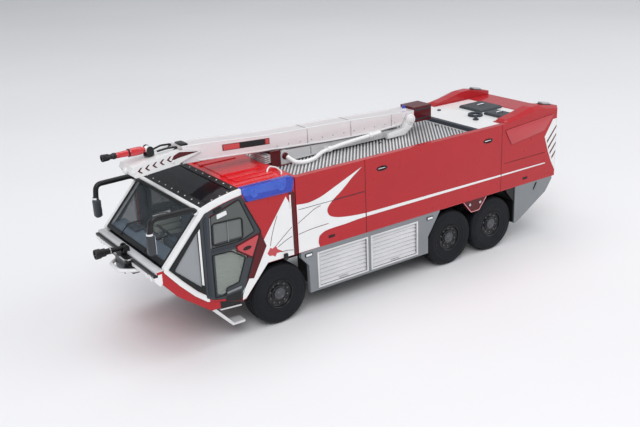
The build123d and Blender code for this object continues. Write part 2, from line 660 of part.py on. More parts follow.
SEAT = [(0, -20), (9, -20), (12.5, 6.5), (12, 9), (3.5, 8), (1.5, 25), (-1.5, 25), (-1.5, 6)]
SEATS = ((115.5, 24.0, 0.0), (113.5, 24.0, 17.0), (113.5, 24.0, -17.0))
SEAT_HALF = 5.5
with BuildPart() as seats:
    for x, z, y in SEATS:
        with BuildSketch(side(y + SEAT_HALF)):
            add(cab_inside.sketch)
            closed([(x + dx, z + dz) for dx, dz in SEAT], Mode.INTERSECT)
        extrude(amount=2 * SEAT_HALF)
seats.part.label = "seats"
export_step(seats.part, "parts/seats.step")

# Steering wheel on its column
WHEEL = (134.4, 0.0, 44.0)
WHEEL_R = 4.2
WHEEL_RIM = 0.7
COLUMN_FOOT = (138.4, 0.0, 40.6)
with BuildPart() as steering_wheel:
    lean = at(*WHEEL) - at(*COLUMN_FOOT)
    hub_plane = Plane(origin=at(*WHEEL), x_dir=(0, 1, 0), z_dir=lean)
    with BuildSketch(hub_plane):
        RegularPolygon(WHEEL_R, LARGE_FLATS)
        RegularPolygon(WHEEL_R - WHEEL_RIM, LARGE_FLATS, mode=Mode.SUBTRACT)
        with PolarLocations(0, 3):
            Rectangle(WHEEL_R - WHEEL_RIM / 2, 0.9, align=(Align.MIN, Align.CENTER))
        RegularPolygon(1, SMALL_FLATS)
    extrude(amount=WHEEL_RIM)
    with BuildSketch(hub_plane):
        RegularPolygon(0.7, SMALL_FLATS)
    extrude(amount=-lean.length)
    prism(DASH, 3, -3, Mode.SUBTRACT)
steering_wheel.part.label = "steering_wheel"
export_step(steering_wheel.part, "parts/steering_wheel.step")

# Bow panel under the cab, with the bumper and the turret tray let into its front edge
BOW_HALF = HALF_W - 0.3
BUMPER = [(150.3, 39.1), (153.6, 39.0), (153.4, 36.2), (151.4, 34.0), (150.3, 34.9)]
BUMPER_Y = ((8.0, BOW_HALF), (-BOW_HALF, -8.0))
TRAY_Z = (37.6, 39.0)
TRAY_X = (149.6, 156.0)
TRAY_HALF = 7.7
BOW = [
    (126.0, 17.1),
    (130.8, 17.1),
    (144.8, 27.8),
    (150.5, 34.7),
    (152.2, 37.0),
    (152.4, 40.1),
    (149.45, 40.1),
    *reversed(SILL),
    (124.0, 19.4),
]
with BuildPart() as bow_panel:
    prism(BOW, BOW_HALF, -BOW_HALF)
    for y in BUMPER_Y:
        prism(BUMPER, y[1], y[0], Mode.SUBTRACT)
    slab(TRAY_X, (-TRAY_HALF - 0.3, TRAY_HALF + 0.3), (TRAY_Z[0], 41), Mode.SUBTRACT)
bow_panel.part.label = "bow_panel"
export_step(bow_panel.part, "parts/bow_panel.step")

with BuildPart() as bumper:
    for y in BUMPER_Y:
        prism(BUMPER, y[1], y[0])
bumper.part.label = "bumper"
export_step(bumper.part, "parts/bumper.step")

# Turret tray: a plate in the bow's notch, with the turret's drive box under it
TURRET = (152.6, 0.0, 41.6)
TURRET_BASE_R = 1.8
TURRET_PIN_TOP = 40.0
BOX_HALF = 5.2
BOX = [(150.5, TRAY_Z[0]), (155.2, TRAY_Z[0]), (154.8, 33.4), (152.2, 31.2), (145.5, 31.2)]
with BuildPart() as turret_tray:
    prism(BOX, BOX_HALF, -BOX_HALF)
    prism(BOW, BOW_HALF, -BOW_HALF, Mode.SUBTRACT)
    slab(TRAY_X, (-TRAY_HALF, TRAY_HALF), TRAY_Z)
    post(TURRET[0], 0, SWIVEL_R, TRAY_Z[1], TURRET_PIN_TOP)
turret_tray.part.label = "turret_tray"
export_step(turret_tray.part, "parts/turret_tray.step")

# The hoop is a flat bar bent round the turret, from one bumper half to the other
HOOP_Z = (33.3, 34.9)
HOOP_W = 1.3
HOOP = [(147.0, 9.6), (152.8, 9.6), (158.6, 4.9)]
with BuildPart() as guard_hoop:
    with BuildSketch(Plane(origin=(MID_X, 0, HOOP_Z[0]))):
        with BuildLine() as route:
            Polyline(*HOOP, *[(x, -y) for x, y in reversed(HOOP)])
            offset(amount=HOOP_W, side=Side.LEFT)
        make_face()
    extrude(amount=HOOP_Z[1] - HOOP_Z[0])
    prism(BOW, BOW_HALF, -BOW_HALF, Mode.SUBTRACT)
    for y in BUMPER_Y:
        prism(BUMPER, y[1], y[0], Mode.SUBTRACT)
guard_hoop.part.label = "guard_hoop"
export_step(guard_hoop.part, "parts/guard_hoop.step")

# Bumper turret: a swivel base and a barrel with a fog nozzle
with BuildPart() as turret_base:
    post(TURRET[0], 0, TURRET_BASE_R, TRAY_Z[1] + PLATE_GAP, TURRET[2] - 1.4, flats=LARGE_FLATS)
    for name, s in SIDES:
        slab((TURRET[0] - 1.3, TURRET[0] + 1.3), (s * 1.3, s * 2.1), (TURRET[2] - 2.0, TURRET[2]))
        disc(TURRET[0], TURRET[2], 1.3, s * 1.3, s * 2.1, flats=SMALL_FLATS)
    slab((TURRET[0] - 1.3, TURRET[0] + 1.3), (-2.1, 2.1), (TURRET[2] - 2.0, TURRET[2] - 1.4))
    post(TURRET[0], 0, SWIVEL_R + RUNNING, TRAY_Z[1], TURRET_PIN_TOP + 0.05, Mode.SUBTRACT)
    disc(TURRET[0], TURRET[2], 0.5, -1.3, 1.3)
turret_base.part.label = "turret_base"
export_step(turret_base.part, "parts/turret_base.step")

# Steps of the barrel as start and end from the tilt pin, and radius
TURRET_STEPS = ((-0.9, 5.6, 0.9), (5.6, 8.4, 1.25), (8.4, 10.4, 1.7), (10.4, 12.8, 2.1))
with BuildPart() as turret_barrel:
    for start, end, radius in TURRET_STEPS:
        rod((TURRET[0] + start, 0, TURRET[2]), (TURRET[0] + end, 0, TURRET[2]), radius, flats=SMALL_FLATS)
    disc(TURRET[0], TURRET[2], 0.5 + RUNNING, -1.2, 1.2, Mode.SUBTRACT)
turret_barrel.part.label = "turret_barrel"
export_step(turret_barrel.part, "parts/turret_barrel.step")

# Mirrors on their arms, and the cab steps
MIRROR_ROOT = (132.6, 58.6)
MIRROR_ARM_R = 1.1
MIRROR_X = (150.8, 154.0)
MIRROR_Z = (46.8, 55.0)
# Arm from its root to the head: station, width outside the body's side, height
MIRROR_ARM = ((MIRROR_ROOT[0], -1.3, MIRROR_ROOT[1]), (MIRROR_ROOT[0] + 1.8, -1.3, 61.2), (151.4, -2.2, 61.2),
              (152.4, -2.6, MIRROR_Z[1] - 0.5))
with BuildPart() as mirrors:
    for name, s in SIDES:
        pipe([(x, s * (HALF_W + dy), z) for x, dy, z in MIRROR_ARM], MIRROR_ARM_R)
        slab(MIRROR_X, (s * (HALF_W - 4.6), s * (HALF_W - 0.8)), MIRROR_Z)
    prism(CAB_OUTLINE, HALF_W + 1, -HALF_W - 1, Mode.SUBTRACT)
mirrors.part.label = "mirrors"
export_step(mirrors.part, "parts/mirrors.step")

STEP = [(128.6, 17.1), (130.6, 17.1), (121.4, 7.2), (115.6, 7.2), (115.6, 8.2), (120.8, 8.2)]
with BuildPart() as steps:
    for name, s in SIDES:
        prism(STEP, s * (HALF_W - 0.6), s * (HALF_W - 6))
steps.part.label = "cab_steps"
export_step(steps.part, "parts/cab_steps.step")

# Boom pedestal: a foot plate, a block behind the cab and two cheeks that the folded boom lies between
CLEVIS_Y = (4.5, 6.2)
LOWER_HALF = 4.2
PEDESTAL_X = (79.8, 84.6)
PEDESTAL_HALF = 7.0
FOOT_X = 72.6
FOOT_T = 0.5
with BuildPart() as pedestal:
    slab(PEDESTAL_X, (-PEDESTAL_HALF, PEDESTAL_HALF), (DECK_Z, LIFT_PIVOT[1] + 2.2))
    slab((FOOT_X, PEDESTAL_X[0]), (-PEDESTAL_HALF, PEDESTAL_HALF), (DECK_Z, DECK_Z + FOOT_T))
    for name, s in SIDES:
        slab(PEDESTAL_X, (s * (BOOM_HALF + 0.6), s * PEDESTAL_HALF), (DECK_Z, LIFT_PIVOT[1] + 3.4))
pedestal.part.label = "pedestal"
export_step(pedestal.part, "parts/pedestal.step")

# Louvred box on the pedestal's front
COMB_HALF = 6.4
COMB_X = (PEDESTAL_X[1], PEDESTAL_X[1] + 0.8, PEDESTAL_X[1] + 2.9)
COMB_Z = TOP_Z + 0.3
COMB_PITCH = 0.9
COMB_T = 0.45
COMB_FINS = 4
comb = [(COMB_X[0], COMB_Z + COMB_FINS * COMB_PITCH), (COMB_X[0], COMB_Z)]
for i in range(COMB_FINS):
    low = COMB_Z + i * COMB_PITCH
    comb += [(COMB_X[2], low), (COMB_X[2], low + COMB_T)]
    comb += [(COMB_X[1], low + COMB_T), (COMB_X[1], low + COMB_PITCH)]
with BuildPart() as pedestal_louvre:
    prism(comb, COMB_HALF, -COMB_HALF)
pedestal_louvre.part.label = "pedestal_louvre"
export_step(pedestal_louvre.part, "parts/pedestal_louvre.step")

CLEVIS_X = 74.4
with BuildPart() as boom_clevis:
    for name, s in SIDES:
        slab((CLEVIS_X, PEDESTAL_X[0]), (s * CLEVIS_Y[0], s * CLEVIS_Y[1]), (DECK_Z + FOOT_T, LIFT_PIVOT[1]))
        disc(*LIFT_PIVOT, LIFT_PIVOT[0] - CLEVIS_X, s * CLEVIS_Y[0], s * CLEVIS_Y[1], flats=LARGE_FLATS)
    disc(LIFT_PIVOT[0], LIFT_PIVOT[1], PIN_R, -CLEVIS_Y[1], CLEVIS_Y[1])
boom_clevis.part.label = "boom_clevis"
export_step(boom_clevis.part, "parts/boom_clevis.step")

# Lower boom: a beam from the lift pin back to two elbow cheeks that carry the elbow pin
CHEEK_Y = (5.3, 6.8)
ELBOW_R = 2.6
CHEEK = [(2.9, 69.8), (4.6, 66.0), (9.0, 62.9), (20.0, 62.7), (20.0, 65.6), (10.6, 66.6), (8.1, 69.8)]
LOWER_BEAM = [
    (10.8, 62.9),
    (72.0, 62.9),
    (77.0, 63.8),
    (77.0, 68.2),
    (52.0, 67.0),
    (26.0, 66.2),
    (10.8, 65.8),
]
with BuildPart() as lower_boom:
    prism(LOWER_BEAM, LOWER_HALF, -LOWER_HALF)
    disc(LIFT_PIVOT[0], LIFT_PIVOT[1], 2.4, -LOWER_HALF, LOWER_HALF, flats=LARGE_FLATS)
    disc(LIFT_PIVOT[0], LIFT_PIVOT[1], PIN_R + RUNNING, -LOWER_HALF, LOWER_HALF, Mode.SUBTRACT)
    for name, s in SIDES:
        prism(CHEEK, s * CHEEK_Y[0], s * CHEEK_Y[1])
        disc(ELBOW[0], ELBOW[1], ELBOW_R, s * CHEEK_Y[0], s * CHEEK_Y[1], flats=LARGE_FLATS)
        slab((11.5, 19.5), (s * (LOWER_HALF - 0.2), s * CHEEK_Y[1]), (62.9, 65.4))
    disc(ELBOW[0], ELBOW[1], PIN_R, -CHEEK_Y[1], CHEEK_Y[1])
lower_boom.part.label = "lower_boom"
export_step(lower_boom.part, "parts/lower_boom.step")

# Water pipe along the lower boom, on two brackets
PIPE_R = 0.95
PIPE_Y = 6.9
PIPE_ROUTE = [
    (24.0, 6.5, 66.9),
    (46.4, PIPE_Y, 65.6),
    (66.0, 7.6, 63.9),
    (73.0, 7.6, 63.9),
    (76.9, 7.6, 66.2),
]
with BuildPart() as water_pipe:
    pipe(PIPE_ROUTE, PIPE_R)
    disc(LIFT_PIVOT[0], LIFT_PIVOT[1], 1.3, CLEVIS_Y[1] + 0.3, 8.9, flats=SMALL_FLATS)
    for x, z in ((30.0, 65.2), (60.0, 64.4)):
        slab((x - 0.8, x + 0.8), (LOWER_HALF, PIPE_Y - 0.4), (z - 0.6, z + 0.6))
water_pipe.part.label = "water_pipe"
export_step(water_pipe.part, "parts/water_pipe.step")

# Upper boom: a tapered tube, open at the front, with its tail on the elbow pin
SLOPE = 0.0514
SLIDE_FIT = 0.2
NOSE_HALF = 3.9
NOSE_IN = 62.0
NOSE_FRONT = 127.0
UPPER = [(2.0, 68.4), (6.0, 67.6), (26.0, 66.7), (52.0, 67.6), (86.0, 69.8), (104.0, 71.1), (125.0, 72.4),
         (125.0, 79.4), (112.0, 78.7), (86.0, 76.6), (40.0, 75.0), (10.6, 73.4), (2.0, 73.4)]


def nose_edge(x, z_front):
    """Height at station x of a line that runs along the slide and ends at z_front at the nose."""
    return z_front - (NOSE_FRONT - x) * SLOPE


NOSE_Z = (73.6, 78.0)
with BuildPart() as upper_boom:
    prism(UPPER, BOOM_HALF, -BOOM_HALF)
    bore = [(x, nose_edge(x, z)) for x, z in (
        (NOSE_IN - 2, NOSE_Z[0] - SLIDE_FIT),
        (130, NOSE_Z[0] - SLIDE_FIT),
        (130, NOSE_Z[1] + SLIDE_FIT),
        (NOSE_IN - 2, NOSE_Z[1] + SLIDE_FIT),
    )]
    prism(bore, NOSE_HALF + SLIDE_FIT, -NOSE_HALF - SLIDE_FIT, Mode.SUBTRACT)
    disc(ELBOW[0], ELBOW[1], PIN_R + RUNNING, -BOOM_HALF, BOOM_HALF, Mode.SUBTRACT)
upper_boom.part.label = "upper_boom"
export_step(upper_boom.part, "parts/upper_boom.step")

with BuildPart() as boom_tail:
    slab((-9.0, 2.0), (-BOOM_HALF, BOOM_HALF), (67.2, 74.6))
boom_tail.part.label = "boom_tail"
export_step(boom_tail.part, "parts/boom_tail.step")

with BuildPart() as beacon:
    post(4.2, 0, 1.0, 73.4, 74.4, flats=SMALL_FLATS)
    post(4.2, 0, 0.8, 74.4, 75.4, flats=SMALL_FLATS)
beacon.part.label = "beacon"
export_step(beacon.part, "parts/beacon.step")

# Sliding nose of the boom and its guard
GUARD = [(127.0, 72.9), (127.0, 78.6), (135.0, 77.6), (147.6, 75.6), (148.4, 73.6), (146.6, 71.1)]
WING = [(117.2, 76.4), (127.0, 78.6), (127.0, 73.4)]
with BuildPart() as nose_boom:
    prism([(NOSE_IN, nose_edge(NOSE_IN, NOSE_Z[0])), (NOSE_FRONT, NOSE_Z[0]), (NOSE_FRONT, NOSE_Z[1]),
           (NOSE_IN, nose_edge(NOSE_IN, NOSE_Z[1]))], NOSE_HALF, -NOSE_HALF)
nose_boom.part.label = "nose_boom"
export_step(nose_boom.part, "parts/nose_boom.step")

GUARD_Y = (BOOM_HALF + 0.3, BOOM_HALF + 1.1)
NOZZLE = (137.6, 0.0, 80.2)
NOZZLE_PIN_TOP = 78.5
with BuildPart() as nose_guard:
    prism(GUARD, GUARD_Y[1], -GUARD_Y[1])
    for name, s in SIDES:
        prism(WING, s * GUARD_Y[0], s * GUARD_Y[1])
    post(NOZZLE[0], 0, SWIVEL_R, 76.0, NOZZLE_PIN_TOP)
nose_guard.part.label = "nose_guard"
export_step(nose_guard.part, "parts/nose_guard.step")

# Boom nozzle: a swivel base and a barrel
with BuildPart() as nozzle_base:
    post(NOZZLE[0], 0, 2.2, 77.6, 78.4, flats=LARGE_FLATS)
    post(NOZZLE[0], 0, SWIVEL_R + RUNNING, 77.6, NOZZLE_PIN_TOP + 0.05, Mode.SUBTRACT)
    for name, s in SIDES:
        slab((NOZZLE[0] - 1.4, NOZZLE[0] + 1.4), (s * 1.6, s * 2.4), (78.2, NOZZLE[2]))
        disc(NOZZLE[0], NOZZLE[2], 1.4, s * 1.6, s * 2.4, flats=SMALL_FLATS)
    disc(NOZZLE[0], NOZZLE[2], 0.5, -1.6, 1.6)
nozzle_base.part.label = "nozzle_base"
export_step(nozzle_base.part, "parts/nozzle_base.step")

# Steps of the barrel as start and end from the tilt pin, and radius
NOZZLE_STEPS = ((-1.3, 2.8, 1.1), (2.8, 8.6, 1.7), (8.6, 14.2, 1.2), (14.2, 19.8, 1.5))
with BuildPart() as nozzle_barrel:
    for start, end, radius in NOZZLE_STEPS:
        rod((NOZZLE[0] + start, 0, NOZZLE[2]), (NOZZLE[0] + end, 0, NOZZLE[2]), radius, flats=SMALL_FLATS)
    disc(NOZZLE[0], NOZZLE[2], 0.5 + RUNNING, -1.3, 1.3, Mode.SUBTRACT)
nozzle_barrel.part.label = "nozzle_barrel"
export_step(nozzle_barrel.part, "parts/nozzle_barrel.step")
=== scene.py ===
import json
import math

import bmesh
import bpy
from mathutils import Matrix, Vector
from mathutils.geometry import tessellate_polygon

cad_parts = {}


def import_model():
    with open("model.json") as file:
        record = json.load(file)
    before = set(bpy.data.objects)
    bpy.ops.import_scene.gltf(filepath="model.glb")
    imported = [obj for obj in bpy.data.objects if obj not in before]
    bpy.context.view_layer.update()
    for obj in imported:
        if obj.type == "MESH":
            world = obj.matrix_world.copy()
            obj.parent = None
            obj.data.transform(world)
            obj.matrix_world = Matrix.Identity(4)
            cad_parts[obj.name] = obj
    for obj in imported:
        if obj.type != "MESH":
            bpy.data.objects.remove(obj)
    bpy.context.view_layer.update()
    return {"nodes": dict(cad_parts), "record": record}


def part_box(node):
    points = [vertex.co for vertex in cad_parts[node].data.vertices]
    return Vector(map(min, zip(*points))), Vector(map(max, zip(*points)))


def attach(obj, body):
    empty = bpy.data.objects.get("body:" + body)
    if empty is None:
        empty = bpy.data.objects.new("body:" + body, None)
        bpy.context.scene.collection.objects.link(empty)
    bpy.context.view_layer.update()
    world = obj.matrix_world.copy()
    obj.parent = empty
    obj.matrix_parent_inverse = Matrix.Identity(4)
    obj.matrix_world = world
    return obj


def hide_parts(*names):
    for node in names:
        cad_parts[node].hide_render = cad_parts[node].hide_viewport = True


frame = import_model()

# Lengths below are in millimetres. Stations count forward from the middle axle.
MM = 0.001
low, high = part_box("middle_wheelset")
MID_X = (low.x + high.x) / 2 / MM
TYRE_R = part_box("middle_tyre_left")[1].z / 2 / MM
HALF_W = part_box("tank_body")[1].y / MM
DECK_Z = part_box("deck_plate")[1].z / MM
LID_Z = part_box("rear_lid")[1].z / MM
SIDES = (("left", 1), ("right", -1))
BOTH = (1, -1)
scene = bpy.context.scene


def at(x, y, z):
    """Point at station x, width y and height z, in metres in the row frame."""
    return Vector((MID_X + x, y, z)) * MM


# Shader helpers
NOISE_SPAN = (0.3, 0.7)  # Part of a noise's range that a tint or roughness is spread over
MOTTLE_SCALE = 90.0
GLOSS_SCALE = 260.0
ROUGH_SPAN = 0.06
LEAST_ROUGH = 0.02
COAT_ROUGH = 0.04
BUMP_STRENGTH = 0.25
EDGE_SAMPLES = 6
INNER_COLOUR = (0.02, 0.021, 0.023)
PANE_MOTTLE = 0.07
PANE_MOTTLE_SCALE = 60.0
PANE_GLOSS_SCALE = 200.0
PANE_ROUGH_SPAN = 0.03


def new_material(name, values):
    """Material whose shader has these input values."""
    material = bpy.data.materials.new(name)
    material.use_nodes = True
    tree = material.node_tree
    bsdf = tree.nodes["Principled BSDF"]
    for key, value in values.items():
        bsdf.inputs[key].default_value = value
    return material, tree, bsdf


def node(tree, kind, inputs=None, **settings):
    """Add a shader node, set its properties and fill or link its inputs."""
    made = tree.nodes.new(kind)
    for key, value in settings.items():
        setattr(made, key, value)
    for key, value in (inputs or {}).items():
        if isinstance(value, bpy.types.NodeSocket):
            tree.links.new(value, made.inputs[key])
        else:
            made.inputs[key].default_value = value
    return made


def coords(tree):
    return tree.nodes.new("ShaderNodeTexCoord").outputs["Object"]


def noise(tree, scale, detail=3.0):
    made = node(tree, "ShaderNodeTexNoise", {"Scale": scale, "Detail": detail, "Vector": coords(tree)})
    return made.outputs["Fac"]


def calc(tree, operation, *values):
    return node(tree, "ShaderNodeMath", dict(enumerate(values)), operation=operation).outputs[0]


def tint(tree, scale, first, last):
    """Patches between two colours."""
    made = node(tree, "ShaderNodeValToRGB", {"Fac": noise(tree, scale)})
    for element, position, colour in zip(made.color_ramp.elements, NOISE_SPAN, (first, last)):
        element.position = position
        element.color = (*colour, 1)
    return made.outputs["Color"]


def gloss(tree, bsdf, scale, least, most):
    """Uneven roughness between two values."""
    made = node(tree, "ShaderNodeMapRange", {
        "Value": noise(tree, scale), "From Min": NOISE_SPAN[0], "From Max": NOISE_SPAN[1], "To Min": least,
        "To Max": most})
    tree.links.new(made.outputs["Result"], bsdf.inputs["Roughness"])


def bump(tree, bsdf, height, distance, round_edge):
    """Fine relief, over edges that are rounded in the shading."""
    made = node(tree, "ShaderNodeBump", {"Height": height, "Strength": BUMP_STRENGTH, "Distance": distance * MM})
    if round_edge:
        edge = node(tree, "ShaderNodeBevel", {"Radius": round_edge * MM}, samples=EDGE_SAMPLES)
        tree.links.new(edge.outputs["Normal"], made.inputs["Normal"])
    tree.links.new(made.outputs["Normal"], bsdf.inputs["Normal"])


def shade(colour, factor):
    return tuple(min(1.0, channel * factor) for channel in colour)


def finish(name, colour, rough, metal=0.0, coat=0.0, mottle=0.06, grain=1800.0, depth=0.004, edge=0.0, shine=0.5,
           inner=None):
    """Solid finish with a slight mottle, uneven gloss and fine grain. Where |y| and z lie under the two
    inner limits, the inside of a shell, it is dark."""
    material, tree, bsdf = new_material(name, {
        "Metallic": metal, "Specular IOR Level": shine, "Coat Weight": coat, "Coat Roughness": COAT_ROUGH})
    skin = tint(tree, MOTTLE_SCALE, shade(colour, 1 - mottle), shade(colour, 1 + mottle))
    if inner:
        parts = node(tree, "ShaderNodeSeparateXYZ", {"Vector": coords(tree)})
        narrow = calc(tree, "LESS_THAN", calc(tree, "ABSOLUTE", parts.outputs["Y"]), inner[0] * MM)
        low_down = calc(tree, "LESS_THAN", parts.outputs["Z"], inner[1] * MM)
        mix = node(tree, "ShaderNodeMix", data_type="RGBA")
        tree.links.new(calc(tree, "MULTIPLY", narrow, low_down), mix.inputs[0])
        tree.links.new(skin, mix.inputs[6])
        mix.inputs[7].default_value = (*INNER_COLOUR, 1)
        skin = mix.outputs[2]
    tree.links.new(skin, bsdf.inputs["Base Color"])
    gloss(tree, bsdf, GLOSS_SCALE, max(LEAST_ROUGH, rough - ROUGH_SPAN / 2), rough + ROUGH_SPAN / 2)
    bump(tree, bsdf, noise(tree, grain, 2.0), depth, edge)
    return material


def glass(name, colour, rough, alpha, coat=0.0, shine=0.5):
    """Thin pane that is partly see-through without refraction."""
    material, tree, bsdf = new_material(name, {"Alpha": alpha, "Specular IOR Level": shine, "Coat Weight": coat})
    skin = tint(tree, PANE_MOTTLE_SCALE, shade(colour, 1 - PANE_MOTTLE), colour)
    tree.links.new(skin, bsdf.inputs["Base Color"])
    gloss(tree, bsdf, PANE_GLOSS_SCALE, rough, rough + PANE_ROUGH_SPAN)
    return material


ANY_Z = 999  # Over the whole height
RED = (0.43, 0.012, 0.018)
PAINT = {"coat": 0.5, "shine": 0.15, "mottle": 0.03, "grain": 500, "depth": 0.0001}
M = {
    "red": finish("red_paint", RED, 0.3, edge=0.35, **PAINT),
    "cab": finish("cab_paint", RED, 0.3, edge=0.25, inner=(28.25, ANY_Z), **PAINT),
    "tank": finish("tank_paint", RED, 0.3, edge=0.35, inner=(29.8, 30.7), **PAINT),
    "roof": finish("roof_paint", (0.66, 0.01, 0.016), 0.28, edge=0.3, **PAINT),
    "dark_red": finish("dark_red_paint", (0.09, 0.004, 0.007), 0.3, coat=0.35, shine=0.15, edge=0.3),
    "panel": finish("panel_paint", (0.5, 0.06, 0.07), 0.34, coat=0.5, shine=0.2, mottle=0.03, depth=0.001),
    "pink": finish("rim_line_paint", (0.72, 0.27, 0.3), 0.35, coat=0.6),
    "nozzle_red": finish("nozzle_paint", (0.55, 0.01, 0.016), 0.26, coat=1, depth=0.002),
    "white": finish("white_paint", (0.8, 0.8, 0.8), 0.32, coat=0.4, shine=0.3, mottle=0.02, grain=800,
                    depth=0.002, edge=0.25),
    "pearl": finish("boom_paint", (0.76, 0.71, 0.72), 0.3, coat=1, mottle=0.02, grain=700, depth=0.002,
                    edge=0.3),
    "skirt": finish("skirt_paint", (0.2, 0.215, 0.23), 0.42, coat=0.25, edge=0.25, inner=(27.9, ANY_Z)),
    "silver": finish("silver_paint", (0.7, 0.7, 0.71), 0.36, metal=0.35, grain=2600, depth=0.006, edge=0.15),
    # Dark grey behind the shutter slats: painted shade in the gaps between them
    "groove": finish("shutter_gap_shade", (0.16, 0.165, 0.17), 0.5),
    "bars": finish("tread_bars", (0.8, 0.8, 0.8), 0.32, metal=0.35, grain=2400, depth=0.006),
    "deck": finish("deck_metal", (0.17, 0.17, 0.18), 0.4, metal=0.6, grain=2200, depth=0.008),
    "bolt": finish("wheel_bolts", (0.2, 0.2, 0.21), 0.3, metal=0.7, shine=0.3),
    "steel": finish("bright_steel", (0.62, 0.62, 0.64), 0.25, metal=1, mottle=0.1),
    "chrome": finish("chrome", (0.8, 0.8, 0.81), 0.12, metal=1, mottle=0.02),
    "frame": finish("frame_paint", (0.022, 0.023, 0.025), 0.45, coat=0.2),
    "black": finish("black_plastic", (0.01, 0.01, 0.011), 0.32, shine=0.35, edge=0.2),
    "dark_grey": finish("dark_grey_plastic", (0.045, 0.052, 0.06), 0.4, shine=0.3, edge=0.2),
    "border": finish("dark_border", (0.03, 0.036, 0.048), 0.35, shine=0.3),
    "rubber": finish("seal_rubber", (0.01, 0.011, 0.012), 0.5, shine=0.3, grain=2400, depth=0.006),
    "tyre": finish("tyre_rubber", (0.01, 0.011, 0.014), 0.55, shine=0.18, mottle=0.15, grain=2400, depth=0.01),
    "rim": finish("rim_paint", (0.012, 0.013, 0.015), 0.35, coat=0.3, shine=0.2),
    "hub": finish("hub_cap", (0.045, 0.047, 0.055), 0.35, coat=0.3),
    "interior": finish("interior_plastic", (0.1, 0.14, 0.19), 0.5, edge=0.5),
    "seat": finish("seat_plastic", (0.045, 0.055, 0.085), 0.55, edge=0.5),
    "pale": finish("step_well", (0.5, 0.54, 0.47), 0.5, mottle=0.12),
    "lens": finish("white_lens", (0.78, 0.8, 0.83), 0.15, coat=1),
    "fin_lens": finish("grey_lens", (0.42, 0.44, 0.47), 0.2, coat=0.8),
    "tail_red": finish("red_lens", (0.42, 0.01, 0.01), 0.15, coat=1),
    "amber": finish("amber_lens", (0.75, 0.22, 0.02), 0.15, coat=1),
    "lamp_blue": finish("lamp_core", (0.16, 0.42, 0.86), 0.2, coat=1),
    "clear": glass("clear_glazing", (0.16, 0.19, 0.21), 0.03, 0.12),
    "roof_tint": glass("tinted_glazing", (0.006, 0.007, 0.01), 0.06, 0.72, shine=0.25),
    "smoke": glass("smoked_glazing", (0.095, 0.105, 0.1), 0.1, 0.93),
    "pane": glass("door_glazing", (0.19, 0.205, 0.2), 0.06, 0.72),
    "lower_pane": glass("lower_glazing", (0.4, 0.44, 0.4), 0.05, 0.38),
    "quarter": glass("quarter_glazing", (0.42, 0.44, 0.46), 0.05, 0.62),
    "blue": glass("blue_lens", (0.008, 0.06, 0.62), 0.08, 0.62, coat=1),
}

# The looks that fill each slot, its own look first
SLOTS = {
    "red_paint": "red cab tank panel pink nozzle_red",
    "roof_red": "roof",
    "dark_red": "dark_red tail_red amber",
    "white_paint": "white pearl lens fin_lens",
    "skirt_grey": "skirt",
    "silver": "silver bars deck steel groove bolt chrome",
    "frame_black": "frame",
    "black_plastic": "black rubber",
    "dark_grey": "dark_grey border",
    "interior": "interior seat pale",
    "clear": "clear smoke pane lower_pane quarter roof_tint",
    "blue_lens": "blue lamp_blue",
    "tyre_rubber": "tyre",
    "rim_dark": "rim hub",
}
NODE_LOOK = {
    "cab_body": "cab",
    "tank_body": "tank",
    "deck_plate": "deck",
    "roof_glass": "roof_tint",
    "upper_boom": "pearl",
    "nose_boom": "pearl",
    "lower_boom": "silver",
    "side_glass": "clear",
    "turret_tray": "black",
    "shutters": "groove",
}
for subpart in frame["record"]["subparts"]:
    own_look = SLOTS[subpart["material_slot"]].split()[0]
    materials = frame["nodes"][subpart["node"]].data.materials
    materials.clear()
    materials.append(M[NODE_LOOK.get(subpart["node"], own_look)])


# Outline helpers
CURVE_STEPS = 5
CORNER_SHARE = 0.45  # Most of an edge's length that a softened corner may take


def soften(points, reach, closed=False):
    """Replace each corner of a path with a curve that starts and ends this far from it."""
    points = [Vector(point) for point in points]
    made = []
    for i, here in enumerate(points):
        if not closed and i in (0, len(points) - 1):
            made.append(here)
            continue
        before, after = points[i - 1] - here, points[(i + 1) % len(points)] - here
        start = here + before.normalized() * min(reach, before.length * CORNER_SHARE)
        end = here + after.normalized() * min(reach, after.length * CORNER_SHARE)
        for k in range(CURVE_STEPS + 1):
            t = k / CURVE_STEPS
            made.append(start * (1 - t) ** 2 + here * (2 * t * (1 - t)) + end * t**2)
    return made


def smooth(points):
    """Curve through the points of an open line."""
    points = [Vector(point) for point in points]
    made = [points[0]]
    for i in range(len(points) - 1):
        a, b = points[i], points[i + 1]
        before = points[i - 1] if i else a
        after = points[i + 2] if i + 2 < len(points) else b
        for k in range(1, CURVE_STEPS + 1):
            t = k / CURVE_STEPS
            lead = (b - before) * 0.5
            trail = (after - a) * 0.5
            made.append(
                a * (2 * t**3 - 3 * t**2 + 1) + b * (3 * t**2 - 2 * t**3)
                + lead * (t**3 - 2 * t**2 + t) + trail * (t**3 - t**2)
            )
    return made


def inset(points, gap):
    """Closed outline moved inwards by a gap."""
    points = [Vector(point) for point in points]
    after = points[1:] + points[:1]
    turn = math.copysign(1, sum(a.x * b.y - b.x * a.y for a, b in zip(points, after)))
    normals = [Vector((-(b - a).y, (b - a).x)).normalized() * turn for a, b in zip(points, after)]
    return [
        point + (one + two) * (gap / (1 + one.dot(two)))
        for point, one, two in zip(points, normals[-1:] + normals[:-1], normals)
    ]


def line_band(points, low_gap, high_gap):
    """Closed outline between two lines that run this far above an open line of falling stations."""
    points = [Vector(point) for point in points]
    lows, highs = [], []
    for i, here in enumerate(points):
        along = (points[min(i + 1, len(points) - 1)] - points[max(i - 1, 0)]).normalized()
        up = Vector((-along.y, along.x))
        up *= math.copysign(1, up.y)
        lows.append(here + up * low_gap)
        highs.append(here + up * high_gap)
    return lows + highs[::-1]


